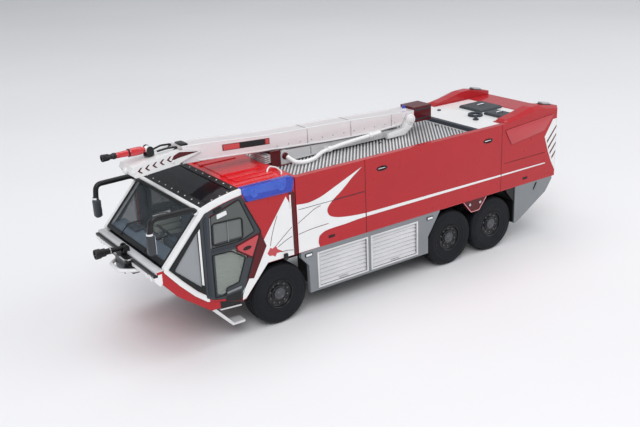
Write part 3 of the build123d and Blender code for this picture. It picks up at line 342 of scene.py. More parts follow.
def ribbon(points, half):
    """Closed outline of a line this far to both sides of a smooth path."""
    path = smooth(points)
    left, right = [], []
    for i, here in enumerate(path):
        along = (path[min(i + 1, len(path) - 1)] - path[max(i - 1, 0)]).normalized()
        side = Vector((-along.y, along.x)) * half
        left.append(here + side)
        right.append(here - side)
    return left + right[::-1]


def crossways(u, v, w):
    """Point u wide and v high at station w."""
    return at(w, u, v)


def rect(x_low, x_high, z_low, z_high):
    return [(x_low, z_low), (x_high, z_low), (x_high, z_high), (x_low, z_high)]


def oval(x, z, half_long, half_high, steps):
    """Points round an oval."""
    turns = [2 * math.pi * k / steps for k in range(steps)]
    return [(x + half_long * math.cos(turn), z + half_high * math.sin(turn)) for turn in turns]


def beside(points, out):
    """Path this far outside the left side, from its stations and heights."""
    return [(x, HALF_W + out, z) for x, z in points]


def add_object(name, data):
    made = bpy.data.objects.new(name, data)
    scene.collection.objects.link(made)
    return made


BEVEL_ANGLE = math.radians(30)
SHARP_ANGLE = math.radians(38)
UP = (0, 0, 1)
AHEAD = (1, 0, 0)
ACROSS = (0, 1, 0)
# Segments of most turned parts, and of the large ones
ROUND = 24
FINE = 32


class Shape:
    """Faces gathered for one piece."""

    def __init__(self):
        self.verts = []
        self.faces = []

    def add(self, verts, faces):
        start = len(self.verts)
        self.verts += verts
        self.faces += [tuple(start + i for i in face) for face in faces]

    def plate(self, loops, place, near, far):
        """Flat plate between two depths, from an outline and its holes as lists of (u, v)."""
        flat = [(point[0], point[1]) for loop in loops for point in loop]
        count = len(flat)
        verts = [place(u, v, depth) for depth in (near, far) for u, v in flat]
        if len(loops) == 1:
            faces = [tuple(range(count)), tuple(range(2 * count - 1, count - 1, -1))]
        else:
            cut = tessellate_polygon([[Vector((u, v, 0)) for u, v in loop] for loop in loops])
            faces = [tuple(face) for face in cut] + [tuple(i + count for i in reversed(face)) for face in cut]
        start = 0
        for loop in loops:
            for i in range(len(loop)):
                a, b = start + i, start + (i + 1) % len(loop)
                faces.append((a, b, b + count, a + count))
            start += len(loop)
        self.add(verts, faces)
        return self

    def prism(self, points, y_from, y_to):
        """Solid between two widths, from a side outline."""
        return self.plate([points], lambda u, v, w: at(u, w, v), y_from, y_to)

    def box(self, x, y, z):
        return self.prism(rect(*x, *z), *y)

    def sheet(self, loops, out=0.03, thick=0.06):
        """The same plate on both sides of the truck, this far outside the body's sides."""
        for s in BOTH:
            self.plate(loops, lambda u, v, w, s=s: at(u, s * w, v), HALF_W + out, HALF_W + out + thick)
        return self

    def prisms(self, points, y_from, y_to):
        """A prism on the left and its mirror image on the right. The next three do so with their kind."""
        for s in BOTH:
            self.prism(points, s * y_from, s * y_to)
        return self

    def boxes(self, x, y, z):
        for s in BOTH:
            self.box(x, (s * y[0], s * y[1]), z)
        return self

    def lathes(self, profile, centre, axis, segments):
        for s in BOTH:
            self.lathe(profile, (centre[0], s * centre[1], centre[2]), (axis[0], s * axis[1], axis[2]), segments)
        return self

    def tubes(self, points, radius, reach=0.0, segments=12, closed=False):
        for s in BOTH:
            self.tube([(x, s * y, z) for x, y, z in points], radius, reach, segments, closed)
        return self

    def lathe(self, profile, centre, axis, segments, notch=None):
        """Turn a profile of (way along the axis, radius). A notch lowers every few segments of some rings."""
        centre, axis = at(*centre), Vector(axis).normalized()
        u = axis.orthogonal().normalized()
        v = axis.cross(u)
        verts, rings = [], []
        for index, (along, radius) in enumerate(profile):
            if radius == 0:
                rings.append([len(verts)] * segments)
                verts.append(centre + axis * along * MM)
                continue
            rings.append([len(verts) + k for k in range(segments)])
            for k in range(segments):
                low_part = notch and notch[0] <= index <= notch[1] and k % notch[2] == 0
                r = radius - notch[3] if low_part else radius
                turn = 2 * math.pi * k / segments
                verts.append(centre + (axis * along + (u * math.cos(turn) + v * math.sin(turn)) * r) * MM)
        faces = []
        for a, b in zip(rings, rings[1:]):
            for k in range(segments):
                j = (k + 1) % segments
                face = tuple(dict.fromkeys((a[k], a[j], b[j], b[k])))
                if len(face) > 2:
                    faces.append(face)
        self.add(verts, faces)
        return self

    def tube(self, points, radius, reach=0.0, segments=12, closed=False):
        """Round bar along a path whose corners are softened."""
        path = [at(*point) for point in (soften(points, reach, closed) if reach else points)]
        count = len(path)
        verts, side = [], None
        for i, here in enumerate(path):
            ahead = path[(i + 1) % count] if closed or i < count - 1 else here
            behind = path[i - 1] if closed or i else here
            along = (ahead - behind).normalized()
            side = along.orthogonal() if side is None else side - along * side.dot(along)
            side.normalize()
            other = along.cross(side)
            for k in range(segments):
                turn = 2 * math.pi * k / segments
                verts.append(here + (side * math.cos(turn) + other * math.sin(turn)) * radius * MM)
        faces = []
        for i in range(count if closed else count - 1):
            a, b = i * segments, (i + 1) % count * segments
            for k in range(segments):
                j = (k + 1) % segments
                faces.append((a + k, a + j, b + j, b + k))
        if not closed:
            faces += [tuple(range(segments))[::-1], tuple(range((count - 1) * segments, count * segments))]
        self.add(verts, faces)
        return self

    def build(self, name, look, body="truck", bevel=0.0, stands_for=(), segments=2):
        """Make the piece, round its sharp edges, and let it ride on its body."""
        data = bpy.data.meshes.new(name)
        data.from_pydata([tuple(point) for point in self.verts], [], self.faces)
        mesh = bmesh.new()
        mesh.from_mesh(data)
        bmesh.ops.recalc_face_normals(mesh, faces=mesh.faces)
        if bevel:
            sharp = [e for e in mesh.edges if e.is_manifold and e.calc_face_angle() > BEVEL_ANGLE]
            bmesh.ops.bevel(mesh, geom=sharp, offset=bevel * MM, segments=segments, affect="EDGES", profile=0.5,
                            clamp_overlap=True)
        for face in mesh.faces:
            face.smooth = True
        mesh.to_mesh(data)
        mesh.free()
        data.set_sharp_from_angle(angle=SHARP_ANGLE)
        data.materials.append(M[look])
        made = add_object(name, data)
        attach(made, body)
        if stands_for:
            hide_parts(*stands_for)


def panel(name, look, points, out=0.03, thick=0.06, bevel=0.0, reach=0.0):
    """Piece of one flat outline on both sides of the truck. A reach softens its corners."""
    loop = soften(points, reach, True) if reach else points
    Shape().sheet([loop], out, thick).build(name, look, bevel=bevel)


# Wheels
TYRE_MID_Y = 24.25
TYRE_SEGMENTS = 120
TREAD_NOTCH = (21, 31, 4, 0.3)  # First and last ring, one in so many segments, and the depth
TREAD = [
    (0, 13.8), (0.45, 13.8), (0.6, 13.35), (1, 13.35), (1.15, 13.8), (2.6, 13.75), (2.75, 13.3), (3.1, 13.3),
    (3.25, 13.65), (4, 13.35), (4.45, 12.8), (4.62, 12.2), (4.55, 12.05), (4.68, 11.9), (4.72, 11.2), (4.62, 11.1),
    (4.72, 10.9), (4.75, 9.9), (4.64, 9.75), (4.7, 9.55), (4.66, 8.8), (4.5, 8.65), (4.52, 8.4), (4.35, 7.7),
    (4.4, 7.45), (4.25, 7), (4, 6.6),
]
tyre_profile = [(-w, r) for w, r in TREAD[:0:-1]] + TREAD
RIM = [
    (0, 6.6), (3.9, 6.6), (4.22, 6.5), (4.25, 6.3), (4.1, 6.12), (3.3, 5.95), (2.95, 5.7), (2.75, 5.35), (2.7, 3.75),
    (3.2, 3.6), (3.3, 3.4), (3.3, 2.75), (3.75, 2.55), (3.95, 2.3), (3.98, 1.85), (3.85, 1.7), (3.85, 1.2),
    (4, 1.05), (4.02, 0.5), (3.96, 0),
]
RIM_BACK = [(0, 6.6), (-4.1, 6.6), (-4.25, 6.4), (-4.2, 6), (-2.6, 5.7), (-2.2, 4), (-2.25, 1.6), (-2.25, 0)]
HUB_CAP = [(3.2, 2.6), (3.86, 2.62), (4.06, 2.36), (4.09, 1.8), (3.95, 1.68), (3.95, 1.22), (4.11, 1.08), (4.13, 0)]
BOLT = [(2.6, 0.42), (3.12, 0.42), (3.2, 0.34), (3.2, 0.2), (3.42, 0.16), (3.42, 0)]
STUD = [(3.25, 0.2), (3.42, 0.2), (3.48, 0.1), (3.48, 0)]
RIM_SEGMENTS = 64
HUB_SEGMENTS = 48
RINGS = ((BOLT, 10, 4.5, 6), (STUD, 4, 3, 8))  # Profile, count, radius of the ring and flats
SHAFTS = ([(-22, 1.5), (22, 1.5)], [(-3.6, 1.5), (-3, 2.6), (3, 2.6), (3.6, 1.5)])
WHEELS = (("front", 97.25), ("middle", 0), ("rear", -28.4))


def wheel_parts(x, sides):
    """Rims, bolts and hub caps of the wheels at a station, on these sides."""
    dishes, bolts, hubs = Shape(), Shape(), Shape()
    for s in sides:
        y, axis = s * TYRE_MID_Y, (0, s, 0)
        for profile in (RIM, RIM_BACK):
            dishes.lathe(profile, (x, y, TYRE_R), axis, RIM_SEGMENTS)
        for profile, count, radius, flats in RINGS:
            for i in range(count):
                turn = 2 * math.pi * (i + 0.5) / count
                bolts.lathe(profile, (x + radius * math.cos(turn), y, TYRE_R + radius * math.sin(turn)), axis, flats)
        hubs.lathe(HUB_CAP, (x, y, TYRE_R), axis, HUB_SEGMENTS)
    return dishes, bolts, hubs


for place, x in WHEELS:
    for name, s in SIDES:
        body = f"front_wheel_{name}" if place == "front" else f"{place}_axle"
        tyre = Shape().lathe(tyre_profile, (x, s * TYRE_MID_Y, TYRE_R), (0, s, 0), TYRE_SEGMENTS, notch=TREAD_NOTCH)
        tyre.build(f"{place}_tyre_rubber_{name}", "tyre", body, stands_for=(f"{place}_tyre_{name}",))
    if place == "front":
        for name, s in SIDES:
            body = f"front_wheel_{name}"
            dish, bolts, hub = wheel_parts(x, (s,))
            dish.build(f"front_dish_{name}", "rim", body, stands_for=(f"front_rim_{name}",))
            bolts.build(f"front_bolts_{name}", "bolt", body)
            hub.build(f"front_hub_{name}", "hub", body)
        continue
    dishes, bolts, hubs = wheel_parts(x, BOTH)
    for profile in SHAFTS:
        dishes.lathe(profile, (x, 0, TYRE_R), ACROSS, ROUND)
    dishes.build(f"{place}_dishes", "rim", f"{place}_axle", stands_for=(f"{place}_wheelset",))
    bolts.build(f"{place}_bolts", "bolt", f"{place}_axle")
    hubs.build(f"{place}_hubs", "hub", f"{place}_axle")

# Cab sides: livery, hinges, door surrounds, seals and posts, with painted shade in the gap to the body and painted
# highlights at the quarter posts
panel("cab_livery", "white", [
    (92.7, 57.3), (90.2, 52.4), (90.1, 30.6), (103.1, 30.6), (114.7, 17.8), (116.3, 17.5), (115.9, 21.3),
    (112.6, 26.1), (110.3, 25.6), (103.3, 38.2), (104.4, 41.2),
])
strips = Shape()
strips.sheet([[(105.7, 45.2), (104.5, 41.4), (103.4, 38.4), (110.4, 25.7), (113.3, 26.2)]], 0.05)
strips.sheet([[(113.2, 26.3), (112.6, 26), (115.9, 20.6), (116.3, 17.5), (117, 17.4), (116.4, 18.9)]], 0.05)
# This dark red sheet between the cab and the body is painted shade, the shadow in the gap between them
strips.sheet([[(88.3, 30.6), (90.1, 30.6), (90.2, 52.4), (91.4, 58.4), (88.3, 58.4)]], 0.02)
strips.build("cab_dark_strips_and_gap_shade", "dark_red")
panel("cab_hinges", "white", rect(90.4, 91.1, 51.8, 57.6), 0.04, 0.35, 0.1)
panel("side_posts", "black", rect(93.4, 95.4, 29.4, 32.4), 0, 0.8, 0.2, 0.5)
panel("door_surrounds", "dark_grey", [
    (129.4, 21.6), (132.3, 23.2), (132.7, 25.2), (132.7, 56.2), (130, 59), (126.5, 59.9), (122, 61),
    (117.6, 61.9), (113.5, 62.6), (111.4, 59.3), (112, 58.8), (114.1, 61.7), (128.4, 57.4), (128.9, 21.7),
], 0.02)
seal = Shape().sheet([[(132.6, 24.9), (136.1, 27.6), (141.8, 33.6), (147.5, 40), (132.6, 56.4)],
                      soften([(134.1, 28.6), (145.2, 39), (134.1, 52.4)], 0.9, True)], 0.03, 0.35)
seal.build("quarter_seals", "rubber", bevel=0.15)
panel("pillar_covers", "border", [(130, 23.2), (131.5, 23.9), (131.1, 56.4), (129.8, 57.6)], 0.08, 0.3, 0.12)
# White strips at the quarter glass's rear edge are a painted highlight, the glint on its post
panel("quarter_post_highlights", "white", [(133.2, 29.2), (134.1, 29.9), (133.9, 52.2), (133, 53.4)], 0.3, 0.25, 0.08)

# Door: glazing, sliding window, waist rail, handle and lower frame
UPPER_PANE = [(128.2, 43.8), (127.7, 56.8), (114.8, 60.8), (113.5, 57.9), (108.8, 46.3), (113.6, 44.4), (117, 43.8)]
WINDOW = [(127.6, 44.8), (127.4, 53.6), (114, 53.1), (114.2, 44.8)]
PANE_Y = (29.9, 29.8)
Shape().sheet([UPPER_PANE, soften(inset(WINDOW, 0.1), 1.2, True)], 0.03).build("door_upper_panes", "smoke")
sliding = Shape().prisms([(127.9, 44.6), (127.6, 53.9), (113.8, 53.3), (114, 44.6)], 29.95, 29.85)
sliding.build("door_sliding_panes", "pane")
line = Shape()
for points, out, radius, reach, closed in (
    (((127.7, 44.5), (127.5, 53.9), (113.9, 53.4), (114.1, 44.5)), 0.12, 0.33, 1.6, True),
    (((128.3, 43.7), (127.8, 57), (114.6, 61.1), (113.3, 58.2), (108.4, 46.1), (113.4, 44.2), (117, 43.6)),
     0.1, 0.26, 0.8, True),
    (((112, 58.6), (105.6, 45.4), (113.2, 26.4)), 0.1, 0.28, 0, False),
    (((128.4, 40.7), (119.8, 40.4), (113.6, 36), (117.4, 25.9), (123.2, 25), (123.5, 22.2), (128.4, 22.2)),
     0.1, 0.26, 0.5, True),
):
    line.tubes(beside(points, out), radius, reach, 8, closed)
line.build("door_seals", "rubber")
divider = Shape().sheet([[(120.6, 44.7), (121, 44.7), (120.7, 53.7), (120.3, 53.7)]], 0.1, 0.15)
divider.sheet([[(128.5, 44), (128.9, 44), (128.4, 56.6), (128, 56.6)]], 0.1, 0.15)
divider.build("window_dividers", "skirt")
panel("door_latches", "black", [(126.2, 58), (122.8, 58.9), (122.8, 60.2), (126.2, 59.4)], 0, 0.9, 0.2, 0.3)
panel("latch_plates", "white", [(125.2, 55.4), (120.6, 56.4), (120.8, 58.1), (125.2, 57.4)], 0.05, 0.6, 0.2, 0.4)
panel("door_waist_rails", "dark_grey", [
    (128.7, 40.9), (128.7, 43.6), (117, 43.5), (113.4, 44.2), (108.4, 46.1), (106.2, 45.4), (117.6, 40.9),
], 0.04)
panel("door_waist_beads", "border", [(128.6, 41.7), (128.6, 42.8), (117.8, 42.8), (117.9, 41.8)], 0.1, 0.15, 0.06)
HANDLE = [(117.9, 42.2), (106.7, 45), (106.3, 43.3), (109.9, 35.1), (110.9, 34.9), (117.6, 39.7)]
panel("handle_frames", "dark_red", HANDLE, 0.08, 0.12, reach=0.4)
panel("handle_faces", "panel", inset(HANDLE, 0.75), 0.2, 0.25, 0.12, 0.5)
WELL = (112.6, 39.9, 2, 0.85)
WELL_SLANT = 0.075
well = [(x, z - WELL_SLANT * (x - WELL[0])) for x, z in oval(*WELL, ROUND)]
panel("handle_wells", "black", well, 0.42, 0.08)
panel("handle_bars", "dark_red", [(111.3, 39.5), (113.9, 39.9), (113.9, 40.3), (111.3, 39.9)], 0.48, 0.25, 0.08, 0.15)
panel("door_lower_frames", "dark_grey", [
    (123.3, 25), (117.4, 25.9), (113.5, 36.1), (112.6, 35.4), (115.9, 22.6), (116.6, 18.8), (123.1, 20.4),
    (128.9, 21.6), (128.8, 22.4), (123.5, 22.3),
], 0.03)
panel("door_ledges", "skirt", [(123.3, 23.4), (116.4, 24.1), (116.6, 23.1), (123.3, 22.5)], 0.1, 0.3, 0.1)
well = Shape().sheet([[(123.6, 21.6), (116.6, 22.1), (117, 17.5), (124.1, 19.5)]], 0.1, 0.05)
well.prisms([(117.2, 17.4), (124.2, 19.4), (126.6, 21), (126.4, 16.6), (117.2, 15.9)], 24.2, 29.8)
well.build("step_wells", "black")
sill = Shape().prisms([(117, 15.3), (126.8, 16), (126.8, 16.6), (117, 15.9)], 24, 30.1)
sill.build("sill_plates", "silver", bevel=0.15)
lower_pane = Shape().prisms([(128.2, 22.4), (128.2, 41), (117, 41), (112.6, 36.6), (117.4, 24)], *PANE_Y)
lower_pane.build("door_lower_panes", "lower_pane")
STEPS = 5
steps = Shape()
for i in range(STEPS):
    z = 23.4 + 3.4 * i
    steps.prisms([(113.8 + 0.4 * i, z), (128.4, z), (128.4, z + 2.6), (114.4 + 0.4 * i, z + 2.6)], 27.2, 26 - 0.4 * i)
    steps.boxes((114.4, 128.2), (27.2, 27.6), (z + 2.6, z + 3.4))
steps.build("door_inner_steps", "pale", bevel=0.3)
Shape().prisms([(133.6, 27.6), (145.5, 38.9), (133.6, 54)], *PANE_Y).build("quarter_panes", "quarter")

# Windscreen and roof glass: seals, wipers, printed dots painted white as their highlights, and the lip under the
# screen. Then the blue light bars
HEADER = Vector((131.6, 60.7))
SLOPE = Vector((17.9, -19.7)).normalized()
FACE = Vector((-SLOPE.y, SLOPE.x))


def on_screen(u, v, w):
    """Point at width u and v down the windscreen, w out from the cab's outline."""
    spot = HEADER + SLOPE * v + FACE * w
    return at(spot.x, u, spot.y)


loops = [rect(-28.1, 28.1, 0.9, 25.9), soften(rect(-26.9, 26.9, 2.3, 23.9), 1.2, True)]
Shape().plate(loops, on_screen, -0.3, 0.05).build("screen_seal", "rubber", bevel=0.12)
wipers = Shape()
for y in (-13, 11):
    path = [on_screen(y, 25.2, 0.3), on_screen(y + 1, 20, 0.5), on_screen(y + 9, 15, 0.3)]
    wipers.tube([(p.x / MM - MID_X, p.y / MM, p.z / MM) for p in path], 0.22, 1, 8)
wipers.build("wipers", "black")
ROOF_LINE = [(113.2, 65), (118, 64.3), (122.5, 63.4), (127.1, 62.2), (130.6, 61.05)]
edge = Shape()
for ends in ([(113.3, 64.98), (116, 64.6)], [(127.9, 61.95), (130.7, 61)]):
    edge.prism(line_band(ends, -0.3, 0.02), -28.1, 28.1)
edge.prisms(line_band(ROOF_LINE, -0.3, 0.02), 26.9, 28.15)
edge.build("roof_glass_seals", "rubber")
# Small domes for the glass's printed dots; their white is a painted highlight on each dot
DOT = [(0, 0.34), (0.14, 0.28), (0.2, 0)]
dots = Shape()
for x, z in ((114.5, 64.82), (129.2, 61.5)):
    for i in range(-4, 5):
        dots.lathe(DOT, (x, i * 6, z), (0.15, 0, 1), 12)
for x, z in ((118.2, 64.3), (121.6, 63.6), (125.2, 62.7)):
    dots.lathes(DOT, (x, 27.5, z), (0.25, 0, 1), 12)
dots.build("glass_dot_highlights", "white")
Shape().prism([(149.4, 40.1), (149.4, 40.35), (152.3, 40.35), (152.65, 39.9), (152.65, 39.15), (152.3, 39.15)],
              -29.6, 29.6).build("screen_lip", "silver", bevel=0.12)
Shape().boxes((152, 153.75), (8, 29.75), (38.15, 39.14)).build("bumper_gap", "black")
LIGHT_SIDE = [(88.4, 63), (89.3, 58.6), (111.3, 59.2), (113.4, 63.9), (113.1, 65.2), (88.6, 65.3)]
light = Shape().prisms(soften(LIGHT_SIDE, 1.4, True), 26.5, 30.7)
light.build("light_bars", "blue", bevel=1.2, stands_for=("blue_lights",), segments=5)
cores = Shape()
for x in (94.2, 107):
    cores.lathes([(-2.4, 1.2), (0, 1.75), (0.15, 1.6), (-0.4, 1.2), (-0.6, 0.5), (-0.2, 0.4), (-0.2, 0)],
                 (x, 29.7, 61.9), ACROSS, ROUND)
cores.prisms([(90.4, 62.6), (90.8, 60.2), (110.6, 60.8), (111.8, 63), (110.8, 64), (90.6, 64)], 27.2, 27.5)
cores.build("light_cores", "lamp_blue")

# Roof ribs and grab handle
ribs = Shape()
for y, width, x_end, z_top in ((8.6, 2.2, 111, 65.62), (14.6, 2.2, 111, 65.62), (24.2, 0.8, 112.6, 65.2)):
    ribs.boxes((93.4, x_end), (y, y + width), (64.9, z_top))
ribs.build("roof_ribs", "roof", bevel=0.3, segments=3)
Shape().tube([(93.6, 17.8, 65.1), (92.8, 17.2, 66.2), (90.4, 15.2, 66.3), (89, 18, 66.2),
              (90.2, 24, 66.1), (90.6, 24.2, 64.9)], 0.36, 0.9, 10).build("roof_grab_handle", "white")

# Mirrors: thick arms with collars and a rounded head
arms = Shape().tubes([(132.9, 28.7, 59.4), (134.3, 28.7, 61.3), (151.5, 27.8, 61.2), (152.4, 27.4, 54.6)], 1.15, 2.6,
                     16)
arms.build("mirror_arms", "black", stands_for=("mirrors",))
collars = Shape().lathes([(0, 1.2), (0, 1.45), (0.8, 1.45), (0.8, 1.2)], (152.37, 27.42, 55), UP, 20)
collars.tubes([(132.9, 28.7, 59.4), (133.5, 28.7, 60.3)], 1.3, 0, 16)
collars.build("mirror_collars", "chrome")
Shape().boxes((150.9, 153.9), (25.5, 29.1), (46.8, 55)).build("mirror_heads", "dark_grey", bevel=1.1, segments=4)
Shape().boxes((150.75, 150.95), (25.9, 28.7), (47.3, 54.5)).build("mirror_glasses", "chrome", bevel=0.08)

# Inside of the cab: steering wheel, seat cushions and dashboard cowl
RIM_R = 3.85
wheel = Shape()
lean = Vector((4, 0, -3.4)).normalized()
centre = Vector((134.4, 0, 44))
across = lean.cross(Vector(ACROSS))


def on_wheel(turn, radius):
    """Point on the steering wheel."""
    return centre + (Vector(ACROSS) * math.cos(turn) + across * math.sin(turn)) * radius


wheel.tube([on_wheel(2 * math.pi * k / 24, RIM_R) for k in range(24)], 0.36, 0, 10, closed=True)
for k in range(3):
    wheel.tube([centre, on_wheel(2 * math.pi * k / 3 + 0.5, RIM_R - 0.05)], 0.28)
wheel.lathe([(-0.5, 0), (-0.5, 0.8), (0.3, 1), (0.6, 0.7), (4.6, 0.6), (4.6, 0)], centre, lean, 20)
wheel.build("driver_wheel", "black", stands_for=("steering_wheel",))
rests = Shape()
for x, y in ((115.5, 0), (113.5, 17), (113.5, -17)):
    rests.box((x + 1.2, x + 12), (y - 5.2, y + 5.2), (29.6, 32.6))
    rests.prism([(x - 1.2, 31), (x + 2.4, 31), (x + 0.8, 45.6), (x - 1.2, 45.6)], y - 4.9, y + 4.9)
    rests.box((x - 1.2, x + 0.8), (y - 2.6, y + 2.6), (46.2, 49))
rests.build("seat_cushions", "seat", bevel=0.9, segments=3)
cowl = Shape().box((138.6, 140.8), (-6.5, 6.5), (43, 44.8)).box((139, 143.6), (-20, -9), (42.9, 44))
cowl.build("dash_cowl", "border", bevel=0.5)

# Body sides: white sweep, pinstripes, seams, handle pockets and vents
SWEEP = [(87.6, 52.4), (84, 52), (80.8, 52), (75.5, 53), (70.3, 54.9), (62, 58.2), (53, 61.7),
         (58.5, 58), (64.1, 53.5), (68.5, 50.6), (71.4, 48), (72.2, 45.8), (70.9, 43.4), (67.5, 41.9),
         (63, 41), (57, 40.3), (51.7, 39.9)]
UNDER = [(51.7, 38.2), (57, 38), (63.1, 37.6), (69, 37.5), (73.8, 37.1), (76.5, 35.8), (77.1, 34.7),
         (77.4, 32.6), (76.8, 30.6)]
livery = Shape()
livery.sheet([smooth(SWEEP[:7]) + smooth(SWEEP[7:]) + smooth(UNDER) + [(87.6, 30.6)]])
livery.sheet([[(51.1, 39.88), (7.6, 39.6), (-32.5, 39.25), (-32.5, 38.35), (7.6, 38.3), (51.1, 38.2)]])
livery.sheet([[(-33, 39.22), (-64.3, 38.95), (-64.3, 38.35), (-33, 38.35)]])
livery.build("body_livery", "white")
INK = (0.08, 0.03)  # Printed marks: how far out, and how thick
swoosh = Shape()
for path in ([(99, 36.8), (94.6, 40.3), (90.6, 43.2)], [(87.4, 44), (82.8, 46.4), (78.8, 48.4), (75.6, 49.2)],
             [(97.9, 36.2), (94, 38), (90.6, 39.2)], [(87.4, 39), (82.2, 39.7), (76.9, 40), (71.9, 40.1)],
             [(96.6, 33.6), (93, 33.4), (90.4, 32.8)], [(101.5, 37.6), (100.5, 41.8), (99.1, 45.9), (97.4, 50)]):
    swoosh.sheet([ribbon(path, 0.13)], *INK)
swoosh.build("livery_lines", "dark_red")
panel("livery_star", "panel", [
    (103.2, 34.6), (101.6, 36.9), (100.6, 36.2), (98.9, 37), (98.2, 35.4), (95.6, 33.7), (98.6, 33.6), (99.4, 32.3),
    (100.8, 33.2), (102.1, 33.2),
], *INK)
panel("panel_joint", "border", rect(51.8, 86.8, 49.85, 50.1), *INK)
seams = Shape()
for x in (51.4, -32.7):
    seams.boxes((x - 0.14, x + 0.14), (29.75, 29.95), (30.6, 61.4))
seams.boxes((-64.2, -34.4), (29.72, 29.92), (44.28, 44.52))
seams.build("seam_shadows", "dark_red")
lines = Shape()
for ends in ([(-64.2, 44), (-64.6, 30.7)], [(-64.6, 30.75), (-23.4, 30.75)], [(-7.4, 30.75), (51.1, 30.75)]):
    lines.tubes(beside(ends, 0.02), 0.13, 0, 6)
lines.build("panel_edge_lines", "panel")
floors, grips, slats, wells = Shape(), Shape(), Shape(), Shape()
for x, z in ((42, 58.6), (-23.1, 58.3)):
    floors.boxes((x - 2.1, x + 2.1), (29.22, 29.3), (z - 0.75, z + 0.75))
    grips.tubes([(x - 2.1, 29.75, z), (x + 2.1, 29.75, z)], 0.33, 0, 8)
    wells.sheet([oval(x, z, 3, 1.1, 32), oval(x, z, 2.16, 0.77, 32)], 0, 0.22)
for x, z in ((70.3, 33.8), (-50, 33.6)):
    floors.boxes((x - 1.6, x + 1.6), (29.52, 29.6), (z - 0.6, z + 0.6))
    for level in (z - 0.38, z, z + 0.38):
        slats.boxes((x - 1.55, x + 1.55), (29.55, 29.95), (level - 0.08, level + 0.08))
wells.build("pocket_rims", "black", bevel=0.06)
floors.build("pocket_floors", "black")
grips.build("pocket_handles", "steel")
slats.build("vent_slats", "dark_grey")

# Rear corner: white field with dark diagonals, and the fin's panel with a painted shadow line round it
FACET = (Vector((-71.75, 29.97)), Vector((-75.45, 26.25)))
FACET_SPAN = (0.15, 5.05)


def facet_plates(shape, lows, highs, near, far):
    """Plate on both bevelled rear corners, between two depths. Its lower and upper heights are given at
    the front edge and at the rear edge."""
    along = (FACET[1] - FACET[0]).normalized()
    out = Vector((along.y, -along.x))
    a, b = FACET_SPAN
    for s in BOTH:
        def place(u, v, w, s=s):
            spot = FACET[0] + along * u + out * w
            return at(spot.x, s * spot.y, v)

        shape.plate([[(a, lows[0]), (b, lows[1]), (b, highs[1]), (a, highs[0])]], place, near, far)


corner = Shape()
corner.sheet([[(-71.7, 60.9), (-68.9, 60.9), (-63.2, 52.6), (-66.2, 44.2), (-68.8, 38.4), (-71.7, 33.6)]])
facet_plates(corner, (34, 34), (61, 61), 0.03, 0.09)
corner.build("rear_corner_livery", "white")
slashes = Shape()
for z, x_end in ((57.6, -65), (53.1, -66), (48.6, -67.4), (44.1, -69)):
    end = z - 1.1 * (x_end + 71.7)
    slashes.sheet([[(-71.7, z), (x_end, end), (x_end - 0.2, end - 1.3), (-71.7, z - 1.1)]], 0.08, 0.04)
for z in (53.1, 48.6, 44.1, 39.6):
    facet_plates(slashes, (z - 1.1, z + 2.8), (z, z + 3.9), 0.08, 0.12)
slashes.build("rear_corner_slashes", "dark_red")
FIN_PANEL = [(-34.8, 61.2), (-39.3, 53.4), (-62.3, 56.1), (-69.3, 63.6)]
panel("fin_panels", "panel", FIN_PANEL, 0, 0.35, 0.25, 0.8)
# The dark red rim round the fin panel is a painted shadow line along its edge
Shape().tubes(beside(FIN_PANEL, 0.1), 0.16, 0.8, 6, closed=True).build("fin_panel_shadow_lines", "dark_red")

# Skirts: shutters with painted shade behind their slats, lamps, levers, axle brackets and chassis rails
SLATS = 8
SHUTTER_Z = (12.3, 27.5)
frames, slats, backs = Shape(), Shape(), Shape()
for x_low, x_high in ((22.2, 48.3), (51.6, 77.5)):
    frames.sheet([rect(x_low - 0.9, x_high + 0.9, 11.5, 28.3), rect(x_low, x_high, *SHUTTER_Z)], -0.1, 0.35)
    # Dark grey backs behind the slats are painted shade, the shadow lines between the slats
    backs.boxes((x_low, x_high), (28.85, 29.05), SHUTTER_Z)
    for k in range(SLATS):
        z = SHUTTER_Z[0] + (SHUTTER_Z[1] - SHUTTER_Z[0]) * k / SLATS
        section = [(29, z + 0.08), (29.7, z + 0.08), (29.78, z + 0.3), (29.32, z + 1.72), (29, z + 1.8)]
        for s in BOTH:
            slats.plate([[(s * y, v) for y, v in section]], crossways, x_low + 0.05, x_high - 0.05)
frames.build("shutter_frames", "silver", bevel=0.12)
slats.build("shutter_slats", "silver", bevel=0.12, stands_for=("shutters",))
backs.build("shutter_back_shade", "groove")
pulls, lamps, cups, rims, studs = Shape(), Shape(), Shape(), Shape(), Shape()
for x in (35.2, 64.5):
    pulls.boxes((x - 2.4, x + 2.4), (29.6, 30.1), (12.9, 13.5))
pulls.build("shutter_pulls", "steel", bevel=0.15)
for x, z in ((82.8, 28.4), (14, 28)):
    cups.boxes((x - 1.9, x + 1.9), (30, 30.35), (z - 0.8, z + 0.8))
    lamps.boxes((x - 1.5, x + 1.5), (30.2, 30.55), (z - 0.5, z + 0.5))
cups.build("skirt_lamp_cups", "black", bevel=0.2)
lamps.build("skirt_lamps", "lens", bevel=0.2)
lever = Shape().tubes([(-58.6, 29.9, 29.5), (-57.9, 30.1, 28.8), (-56.5, 29.9, 26)], 0.4, 0.6, 8)
lever.build("skirt_levers", "black")
rims.tubes(beside([(-7.8, 30.3), (-12.8, 24.4), (-18, 24.4), (-22.8, 30.3)], 0.05), 0.22, 0.5, 8)
rims.build("bracket_rims", "pink")
for x, z in ((-11.8, 28.4), (-18.6, 28.3)):
    studs.lathes([(0, 0.75), (0.3, 0.72), (0.45, 0.5), (0.45, 0)], (x, 30, z), ACROSS, 16)
studs.build("bracket_studs", "steel")
Shape().boxes((-70, 84), (6.6, 8.8), (24, 28.5)).build("chassis_rails", "frame", bevel=0.3)

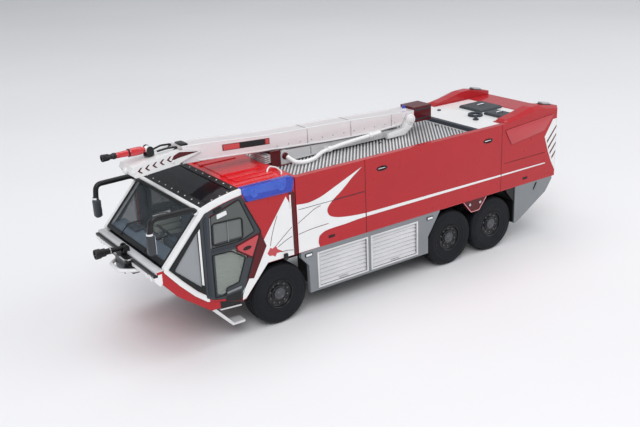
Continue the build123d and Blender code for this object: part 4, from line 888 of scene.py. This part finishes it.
# Deck of raised bars with its border and screws, lid strip, knobs, ring and hatch handles
DECK_X = (-17.6, 85.8)
DECK_Y = 26.4
BAR_DIR = Vector((0.61, 0.79)).normalized()
BAR_SIDE = Vector((-BAR_DIR.y, BAR_DIR.x))
BAR_PITCH = 1.5
BAR_COUNT = 46  # To each side of the deck's middle
BAR_HALF = 0.42
BAR_TOP_SHARE = 0.62
BAR_GAP = 0.3
BAR_LEAST = 1.5
BAR_Z = (-0.05, 0.3)


def clipped(centre):
    """Ends of the bar through a point, cut to the deck."""
    first, last = -math.inf, math.inf
    for value, way, lower, upper in (
        (centre.x, BAR_DIR.x, DECK_X[0], DECK_X[1]),
        (centre.y, BAR_DIR.y, -DECK_Y, DECK_Y),
    ):
        a, b = (lower - value) / way, (upper - value) / way
        first, last = max(first, min(a, b)), min(last, max(a, b))
    return first, last


tread = Shape()
middle = Vector((sum(DECK_X) / 2, 0))
for k in range(-BAR_COUNT, BAR_COUNT + 1):
    centre = middle + BAR_SIDE * BAR_PITCH * k
    first, last = clipped(centre)
    if last - first < BAR_LEAST:
        continue
    a, b = centre + BAR_DIR * (first + BAR_GAP), centre + BAR_DIR * (last - BAR_GAP)
    verts = []
    for half, z in zip((BAR_HALF, BAR_HALF * BAR_TOP_SHARE), BAR_Z):
        side = BAR_SIDE * half
        verts += [at(p.x, p.y, DECK_Z + z) for p in (a - side, b - side, b + side, a + side)]
    tread.add(verts, [(0, 3, 2, 1), (4, 5, 6, 7), (0, 1, 5, 4), (1, 2, 6, 5), (2, 3, 7, 6), (3, 0, 4, 7)])
tread.build("deck_tread", "bars")
loops = [rect(-18, 86.6, -27.4, 27.4), rect(-17.2, 85.8, -26.6, 26.6)]
Shape().plate(loops, at, DECK_Z - 0.05, DECK_Z + 0.35).build("deck_border", "silver", bevel=0.1)
screws = Shape()
for x, y in ((-15, 2.2), (25.3, 7.7), (46, -5.5), (4.8, -3.5), (14, 22), (38, 22), (62, 22),
             (-8, 22), (14, -22), (38, -22), (62, -22), (-8, -22)):
    screws.lathe([(0, 0.7), (0.42, 0.7), (0.5, 0.55), (0.5, 0.3), (0.4, 0.25), (0.4, 0)], (x, y, DECK_Z), UP, 12)
screws.build("deck_screws", "border")
front = Shape().box((-20.4, -17.75), (-26.7, 26.7), (DECK_Z - 0.1, LID_Z + 0.12))
front.build("lid_front_strip", "border", bevel=0.2)
knob = Shape().lathe([(0, 1.5), (0.5, 1.5), (0.7, 1.3), (0.7, 0.8), (1.3, 0.7), (1.5, 0.5), (1.5, 0)],
                     (-31.7, 12.8, LID_Z), UP, ROUND)
knob.lathe([(0, 1), (0.4, 1), (0.55, 0.8), (0.55, 0)], (-31.7, -14.2, LID_Z), UP, ROUND)
knob.build("lid_knobs", "border")
Shape().lathe([(0, 3.8), (0.9, 3.75), (1.15, 3.55), (1.15, 2.8), (0.9, 2.6), (0.05, 2.55)],
              (-37.4, 6.6, LID_Z), UP, 48).build("lid_ring_face", "border")
handles = Shape()
for x, y in ((-50.8, -3.2), (-46.5, 14.5)):
    path = [(x + dx, y, LID_Z + dz) for dx, dz in ((-2.2, 1.3), (-2.2, 2.1), (2.2, 2.1), (2.2, 1.3))]
    handles.tube(path, 0.28, 0.5, 8)
handles.build("hatch_handles", "steel")

# Rear face: grille bars, fin lamps, tail lamps and stripes
GRILLE_BARS = 13
grille = Shape().plate([rect(-15, 15, 35, 57), rect(-14, 14, 36, 56)], crossways, -75.55, -75.2)
for k in range(GRILLE_BARS):
    z = 36.4 + 1.55 * k
    grille.box((-75.45, -75.1), (-14.1, 14.1), (z, z + 0.8))
grille.build("rear_grille_bars", "black", bevel=0.1)
fin_lamps = Shape().prisms([(-65, 68.45), (-70.5, 67.45), (-70.35, 68.5), (-64.85, 69.5)], 22.8, 26.2)
fin_lamps.build("fin_lamp_lenses", "fin_lens", bevel=0.35, segments=3)
housings = Shape().boxes((-75.5, -76), (18.5, 24.5), (36, 48))
housings.prisms([(-64.6, 67.95), (-71, 66.78), (-70.9, 67.5), (-64.5, 68.67)], 22.5, 26.5)
housings.build("tail_lamp_housings", "black", bevel=0.3, stands_for=("rear_lights",))
for name, look, z, radius, crown in (
    ("red", "tail_red", 45.2, 2.2, 1.5), ("amber", "amber", 41, 1.8, 1.2), ("white", "lens", 37.9, 1.5, 1),
):
    lens = [(0, radius), (0.35, radius - 0.1), (0.5, crown), (0.55, 0)]
    Shape().lathes(lens, (-75.9, 21.5, z), (-1, 0, 0), ROUND).build(f"tail_lamps_{name}", look)
stripe = Shape()
for z in (50.4, 54.2):
    stripe.boxes((-75.62, -75.45), (16.5, 25.6), (z, z + 1.6))
stripe.build("rear_stripes", "white")

# Lower boom: water pipe, bands, elbow covers, lift pins and the pedestal's louvre
BOOM = "lower_boom_body"
pipe = Shape().tube([(24, 6.5, 66.9), (46.4, 6.9, 65.6), (58, 7.3, 64.5), (65, 11.4, 63.6), (70.5, 12.2, 63.4),
                     (75, 11.6, 63.9), (76.9, 7.7, 66.2)], 0.95, 2.6, 20)
for x, y, z in ((30, 6.6, 66.55), (54, 7.15, 64.9)):
    pipe.lathe([(-0.9, 0.9), (-0.9, 1.3), (0.9, 1.3), (0.9, 0.9)], (x, y, z), (1, 0.02, -0.08), 20)
    pipe.box((x - 0.7, x + 0.7), (3.6, y), (z - 0.6, z + 0.4))
pipe.build("water_line", "white", BOOM, stands_for=("water_pipe",))
bands = Shape()
for x, z in ((26, 64.5), (62, 65.6)):
    bands.box((x - 0.3, x + 0.3), (-4.3, 4.3), (z - 2, z + 1.7))
bands.build("lower_boom_bands", "steel", BOOM, bevel=0.1)
CHEEK = [(3.4, 69.4), (5, 66.2), (9.2, 63.2), (19.6, 63), (19.6, 65.3), (10.4, 66.2), (8, 69.4)]
cheeks = Shape().prisms(soften(CHEEK, 0.8, True), 6.8, 7)
cheeks.lathes([(6.7, 2.6), (7.1, 2.55), (7.3, 2.3), (7.3, 1.5), (7.7, 1.4), (7.8, 1.2), (7.8, 0)], (5.5, 0, 69.8),
              ACROSS, FINE)
cheeks.build("elbow_covers", "white", BOOM, bevel=0.15)
Shape().lathes([(6.1, 1.6), (6.6, 1.55), (6.85, 1.3), (6.85, 0.7), (7, 0.6), (7, 0)], (77, 0, 66.2),
               ACROSS, ROUND).build("lift_pin_caps", "dark_red")
Shape().box((84.9, 85.4), (-6, 6), (64.9, 68)).build("louvre_back", "black")

# Upper boom: edge strips, joints, bare label bars, rivets, beacon base and tail trims
BOOM = "upper_boom_body"
UP_TOP = [(125, 79.4), (112, 78.7), (86, 76.6), (40, 75), (10.6, 73.4)]
strips = Shape().prisms(line_band(UP_TOP, -0.05, 0.3), 4, 5.05)
strips.prisms([(10, 67.9), (26, 66.9), (52, 67.8), (86, 70), (104, 71.3), (118, 72.2), (118, 72.8),
               (104, 71.9), (86, 70.6), (52, 68.4), (26, 67.5), (10, 68.5)], 4.95, 5.25)
strips.build("boom_edge_strips", "white", BOOM, bevel=0.1)
plates = Shape()
for x, z_low, z_high in ((16, 67.6, 73.6), (40, 67.4, 75.1), (64, 68.4, 76)):
    plates.box((x - 0.18, x + 0.18), (-5.12, 5.12), (z_low, z_high))
plates.build("boom_joints", "steel", BOOM)
LABEL = (Vector((106.8, 75.55)), Vector((83.8, 74.05)))


def label_part(first, last, high):
    """Side outline of a part of the label bar, between two shares of its length."""
    p, q = LABEL[0].lerp(LABEL[1], first), LABEL[0].lerp(LABEL[1], last)
    return [(p.x, p.y - high / 2), (p.x, p.y + high / 2), (q.x, q.y + high / 2), (q.x, q.y - high / 2)]


for name, look, parts, high, out in (
    ("label_plates", "dark_red", ((0, 1),), 2.7, 0.12),
    ("label_ends", "nozzle_red", ((0.015, 0.35), (0.91, 0.985)), 2.3, 0.2),
    ("label_centres", "black", ((0.37, 0.89),), 2.3, 0.2),
):
    shape = Shape()
    for first, last in parts:
        shape.prisms(label_part(first, last, high), 4.98, 5 + out)
    shape.build(name, look, BOOM)
RIVETS = 12
RIVET_PITCH = Vector((6, 0, 0.132))
rivets = Shape()
for k in range(RIVETS):
    centre = Vector((14, 0, 69.5)) + RIVET_PITCH * k
    rivets.lathes([(5, 0.34), (5.12, 0.3), (5.18, 0.14), (5.18, 0)], centre, ACROSS, 10)
rivets.build("boom_rivets", "steel", BOOM)
dome = Shape().lathe([(0, 1.35), (0.35, 1.35), (0.45, 1.1), (0.45, 0)], (4.2, 0, 73.4), UP, ROUND)
dome.build("beacon_base", "white", BOOM)
elbow = Shape()
for z in (68.4, 72.8):
    elbow.boxes((-8.4, 1.4), (4.95, 5.15), (z, z + 0.6))
elbow.build("boom_tail_trims", "border", BOOM)

# Nose boom: guard markings, pins, tip and hoses
BOOM = "nose_body"
GUARD_Y = (6.05, 6.18)
chevrons = Shape()
for x, z in ((145.6, 73.8), (142.4, 74.3), (139.2, 74.8), (136, 75.3), (132.8, 75.8)):
    arm = [(x, z), (x - 1.3, z + 1.15), (x - 2.2, z + 1.3), (x - 0.9, z), (x - 2.2, z - 1.1), (x - 1.3, z - 1.1)]
    chevrons.prisms(arm, *GUARD_Y)
chevrons.build("guard_chevrons", "dark_red", BOOM)
wedge = Shape().prisms([(130.8, 75), (129.6, 77), (127, 78), (118.4, 76.7), (127.6, 75.7)], *GUARD_Y)
wedge.build("guard_wedges", "dark_red", BOOM)
pins = Shape().lathes([(6.05, 0.75), (6.3, 0.75), (6.42, 0.6), (6.42, 0)], (130, 0, 74.6), ACROSS, 20)
pins.lathes([(6.05, 0.5), (6.22, 0.5), (6.28, 0.4), (6.28, 0)], (147, 0, 73.4), ACROSS, 16)
pins.build("guard_pins", "white", BOOM)
Shape().lathe([(0, 0.5), (0.1, 1.1), (0.6, 1.45), (1.2, 1.5), (1.9, 1.2), (2.3, 0.6), (2.4, 0)],
              (147, 0, 73.4), AHEAD, ROUND).build("boom_tip_ball", "white", BOOM)
under = Shape()
under.lathe([(0, 1.2), (0.8, 1.2), (1, 0.9), (1.9, 0.9), (2.1, 0.6), (2.1, 0)], (132.9, 0, 72.4), (0, 0, -1), 20)
under.tubes([(128.6, 2.6, 77.6), (126, 2.9, 79.4), (131, 2.9, 79.7), (134.8, 2, 79)], 0.42, 1, 10)
under.box((121.5, 124.5), (-3, 3), (78.6, 80))
under.build("boom_hoses", "black", BOOM, bevel=0.15)

# Nozzle and bumper turret as turned parts
NOZZLE = (137.6, 0, 80.2)
TURRET = (152.6, 0, 41.6)
barrel = Shape().lathe([
    (1.6, 1.15), (2.7, 1.2), (2.9, 1.6), (4.2, 1.7), (6, 1.72), (7.6, 1.7), (8.2, 1.55), (8.4, 1.35), (12.2, 1.2),
    (13.6, 1.15), (14, 0.95)], NOZZLE, AHEAD, FINE)
barrel.build("nozzle_body", "nozzle_red", "nozzle", stands_for=("nozzle_barrel",))
tips = Shape().lathe([
    (13.6, 0), (13.6, 1), (14, 1.25), (15, 1.3), (15.4, 1.05), (16.4, 1), (17, 1.35), (19.4, 1.5),
    (19.8, 1.4), (19.8, 1.05), (17.6, 0.85), (17.4, 0)], NOZZLE, AHEAD, FINE)
tips.lathe([(8.2, 1.3), (8.2, 1.72), (8.7, 1.72), (8.7, 1.3)], NOZZLE, AHEAD, FINE)
tips.build("nozzle_tip", "black", "nozzle")
joint = Shape().lathe([(-1.3, 0), (-1.3, 0.9), (-1, 1.15), (1.2, 1.25), (1.6, 1.2), (1.7, 0)], NOZZLE, AHEAD, ROUND)
joint.lathe([(-1.55, 1), (-1.4, 1.2), (1.4, 1.2), (1.55, 1), (1.55, 0)], NOZZLE, ACROSS, ROUND)
joint.build("nozzle_joint", "white", "nozzle")
Shape().lathe([
    (-0.9, 0), (-0.9, 0.7), (-0.6, 0.9), (3.6, 0.95), (5, 1), (5.6, 1.3), (7.2, 1.25), (8.2, 1.3), (8.5, 1.7),
    (9.6, 1.7), (10.4, 1.75), (10.6, 2.05), (12.5, 2.1), (12.8, 2), (12.8, 1.7), (11.2, 1.3), (11, 0)],
    TURRET, AHEAD, FINE).build("turret_body", "black", "turret", stands_for=("turret_barrel",))
rings = Shape().lathe([(10.9, 1.3), (11.9, 1.35), (11.9, 0.7), (12.2, 0.6), (12.2, 0)], TURRET, AHEAD, 16)
rings.lathe([(6.2, 1.3), (6.2, 1.42), (6.6, 1.42), (6.6, 1.3)], TURRET, AHEAD, ROUND)
rings.build("turret_rings", "steel", "turret")

# Front guard hoop, the small rails over the tray, and the bumper's lamps
HOOP = [(147.7, 8.9), (152.5, 8.9), (157.8, 4.5), (157.8, -4.5), (152.5, -8.9), (147.7, -8.9)]
Shape().tube([(x, y, 34.1) for x, y in HOOP], 0.8, 1.6, 16).build("guard_tube", "white", stands_for=("guard_hoop",))
tray = Shape().tubes([(150.4, 7.5, 38.75), (155.8, 7.5, 38.75), (155.8, 1.5, 38.75)], 0.3, 1.2, 8)
tray.build("tray_rails", "silver")
Shape().box((155.2, 155.5), (-4.6, 4.6), (32, 37)).build("box_cover", "dark_grey", bevel=0.12)
LAMP_WAY = (1, 0, -0.12)
lights, cups = Shape(), Shape()
for y, r, crown in ((26, 1.35, 0.9), (22.6, 1.1, 0.7)):
    lights.lathes([(0, r), (0.3, r - 0.05), (0.45, crown), (0.5, 0)], (153.35, y, 36.9), LAMP_WAY, ROUND)
    cups.lathes([(-0.2, r + 0.3), (0.2, r + 0.3), (0.25, r + 0.1), (0.25, r - 0.1)], (153.35, y, 36.9),
                LAMP_WAY, ROUND)
lights.build("bumper_lamps", "lens")
cups.build("bumper_lamp_rings", "chrome")


# Stage, lights and camera
FLOOR_HALF = 3
FLOOR_MOTTLE_SCALE = 3
MODEL_MIDDLE = (0, 0, 0.03)


def stage():
    """Pale floor, seen by the camera as nearly white."""
    corners = [(x * FLOOR_HALF, y * FLOOR_HALF, 0) for x, y in ((-1, -1), (1, -1), (1, 1), (-1, 1))]
    data = bpy.data.meshes.new("floor")
    data.from_pydata(corners, [], [(0, 1, 2, 3)])
    material, tree, bsdf = new_material("floor_paint", {"Roughness": 0.6})
    tree.links.new(tint(tree, FLOOR_MOTTLE_SCALE, (0.79, 0.79, 0.8), (0.83, 0.83, 0.84)), bsdf.inputs["Base Color"])
    data.materials.append(material)
    add_object("floor", data)


def lamp(name, place, size, power):
    """Square soft light, turned to the model."""
    data = bpy.data.lights.new(name, "AREA")
    data.shape = "RECTANGLE"
    data.size = data.size_y = size
    data.energy = power
    made = add_object(name, data)
    made.location = place
    made.rotation_euler = (Vector(MODEL_MIDDLE) - Vector(place)).to_track_quat("-Z", "Y").to_euler()


def world(level):
    made = bpy.data.worlds.new("studio")
    scene.world = made
    made.use_nodes = True
    background = made.node_tree.nodes["Background"]
    background.inputs["Color"].default_value = (0.93, 0.95, 1, 1)
    background.inputs["Strength"].default_value = level


# The photograph's view, as a pinhole camera: place in mm, turns in radians, focal length in pixels
CAMERA_AT = (271.25, 319.29, 175.45)
CAMERA_YAW = -2.16448
CAMERA_PITCH = 0.35606
CAMERA_ROLL = -0.04499
FOCAL_PX = 874.4
FRAME_PX = 640
SENSOR = 36
CLIP_START = 0.01


def camera():
    data = bpy.data.cameras.new("camera")
    level = math.cos(CAMERA_PITCH)
    forward = Vector((math.cos(CAMERA_YAW) * level, math.sin(CAMERA_YAW) * level, -math.sin(CAMERA_PITCH)))
    right = forward.cross(Vector(UP)).normalized()
    up = right.cross(forward)
    c, s = math.cos(CAMERA_ROLL), math.sin(CAMERA_ROLL)
    turn = Matrix((c * right + s * up, c * up - s * right, -forward)).transposed()
    made = add_object("camera", data)
    made.matrix_world = Matrix.Translation(at(*CAMERA_AT)) @ turn.to_4x4()
    data.sensor_width = SENSOR
    data.lens = FOCAL_PX / FRAME_PX * SENSOR
    data.clip_start = CLIP_START
    scene.camera = made


stage()
camera()
world(0.5)
lamp("key", (0.55, 0.75, 0.95), 0.7, 7.6)
lamp("fill", (-0.8, 0.5, 0.7), 0.8, 3.4)
lamp("top", (0, -0.2, 1.2), 1, 5)
scene.view_settings.view_transform = "Standard"
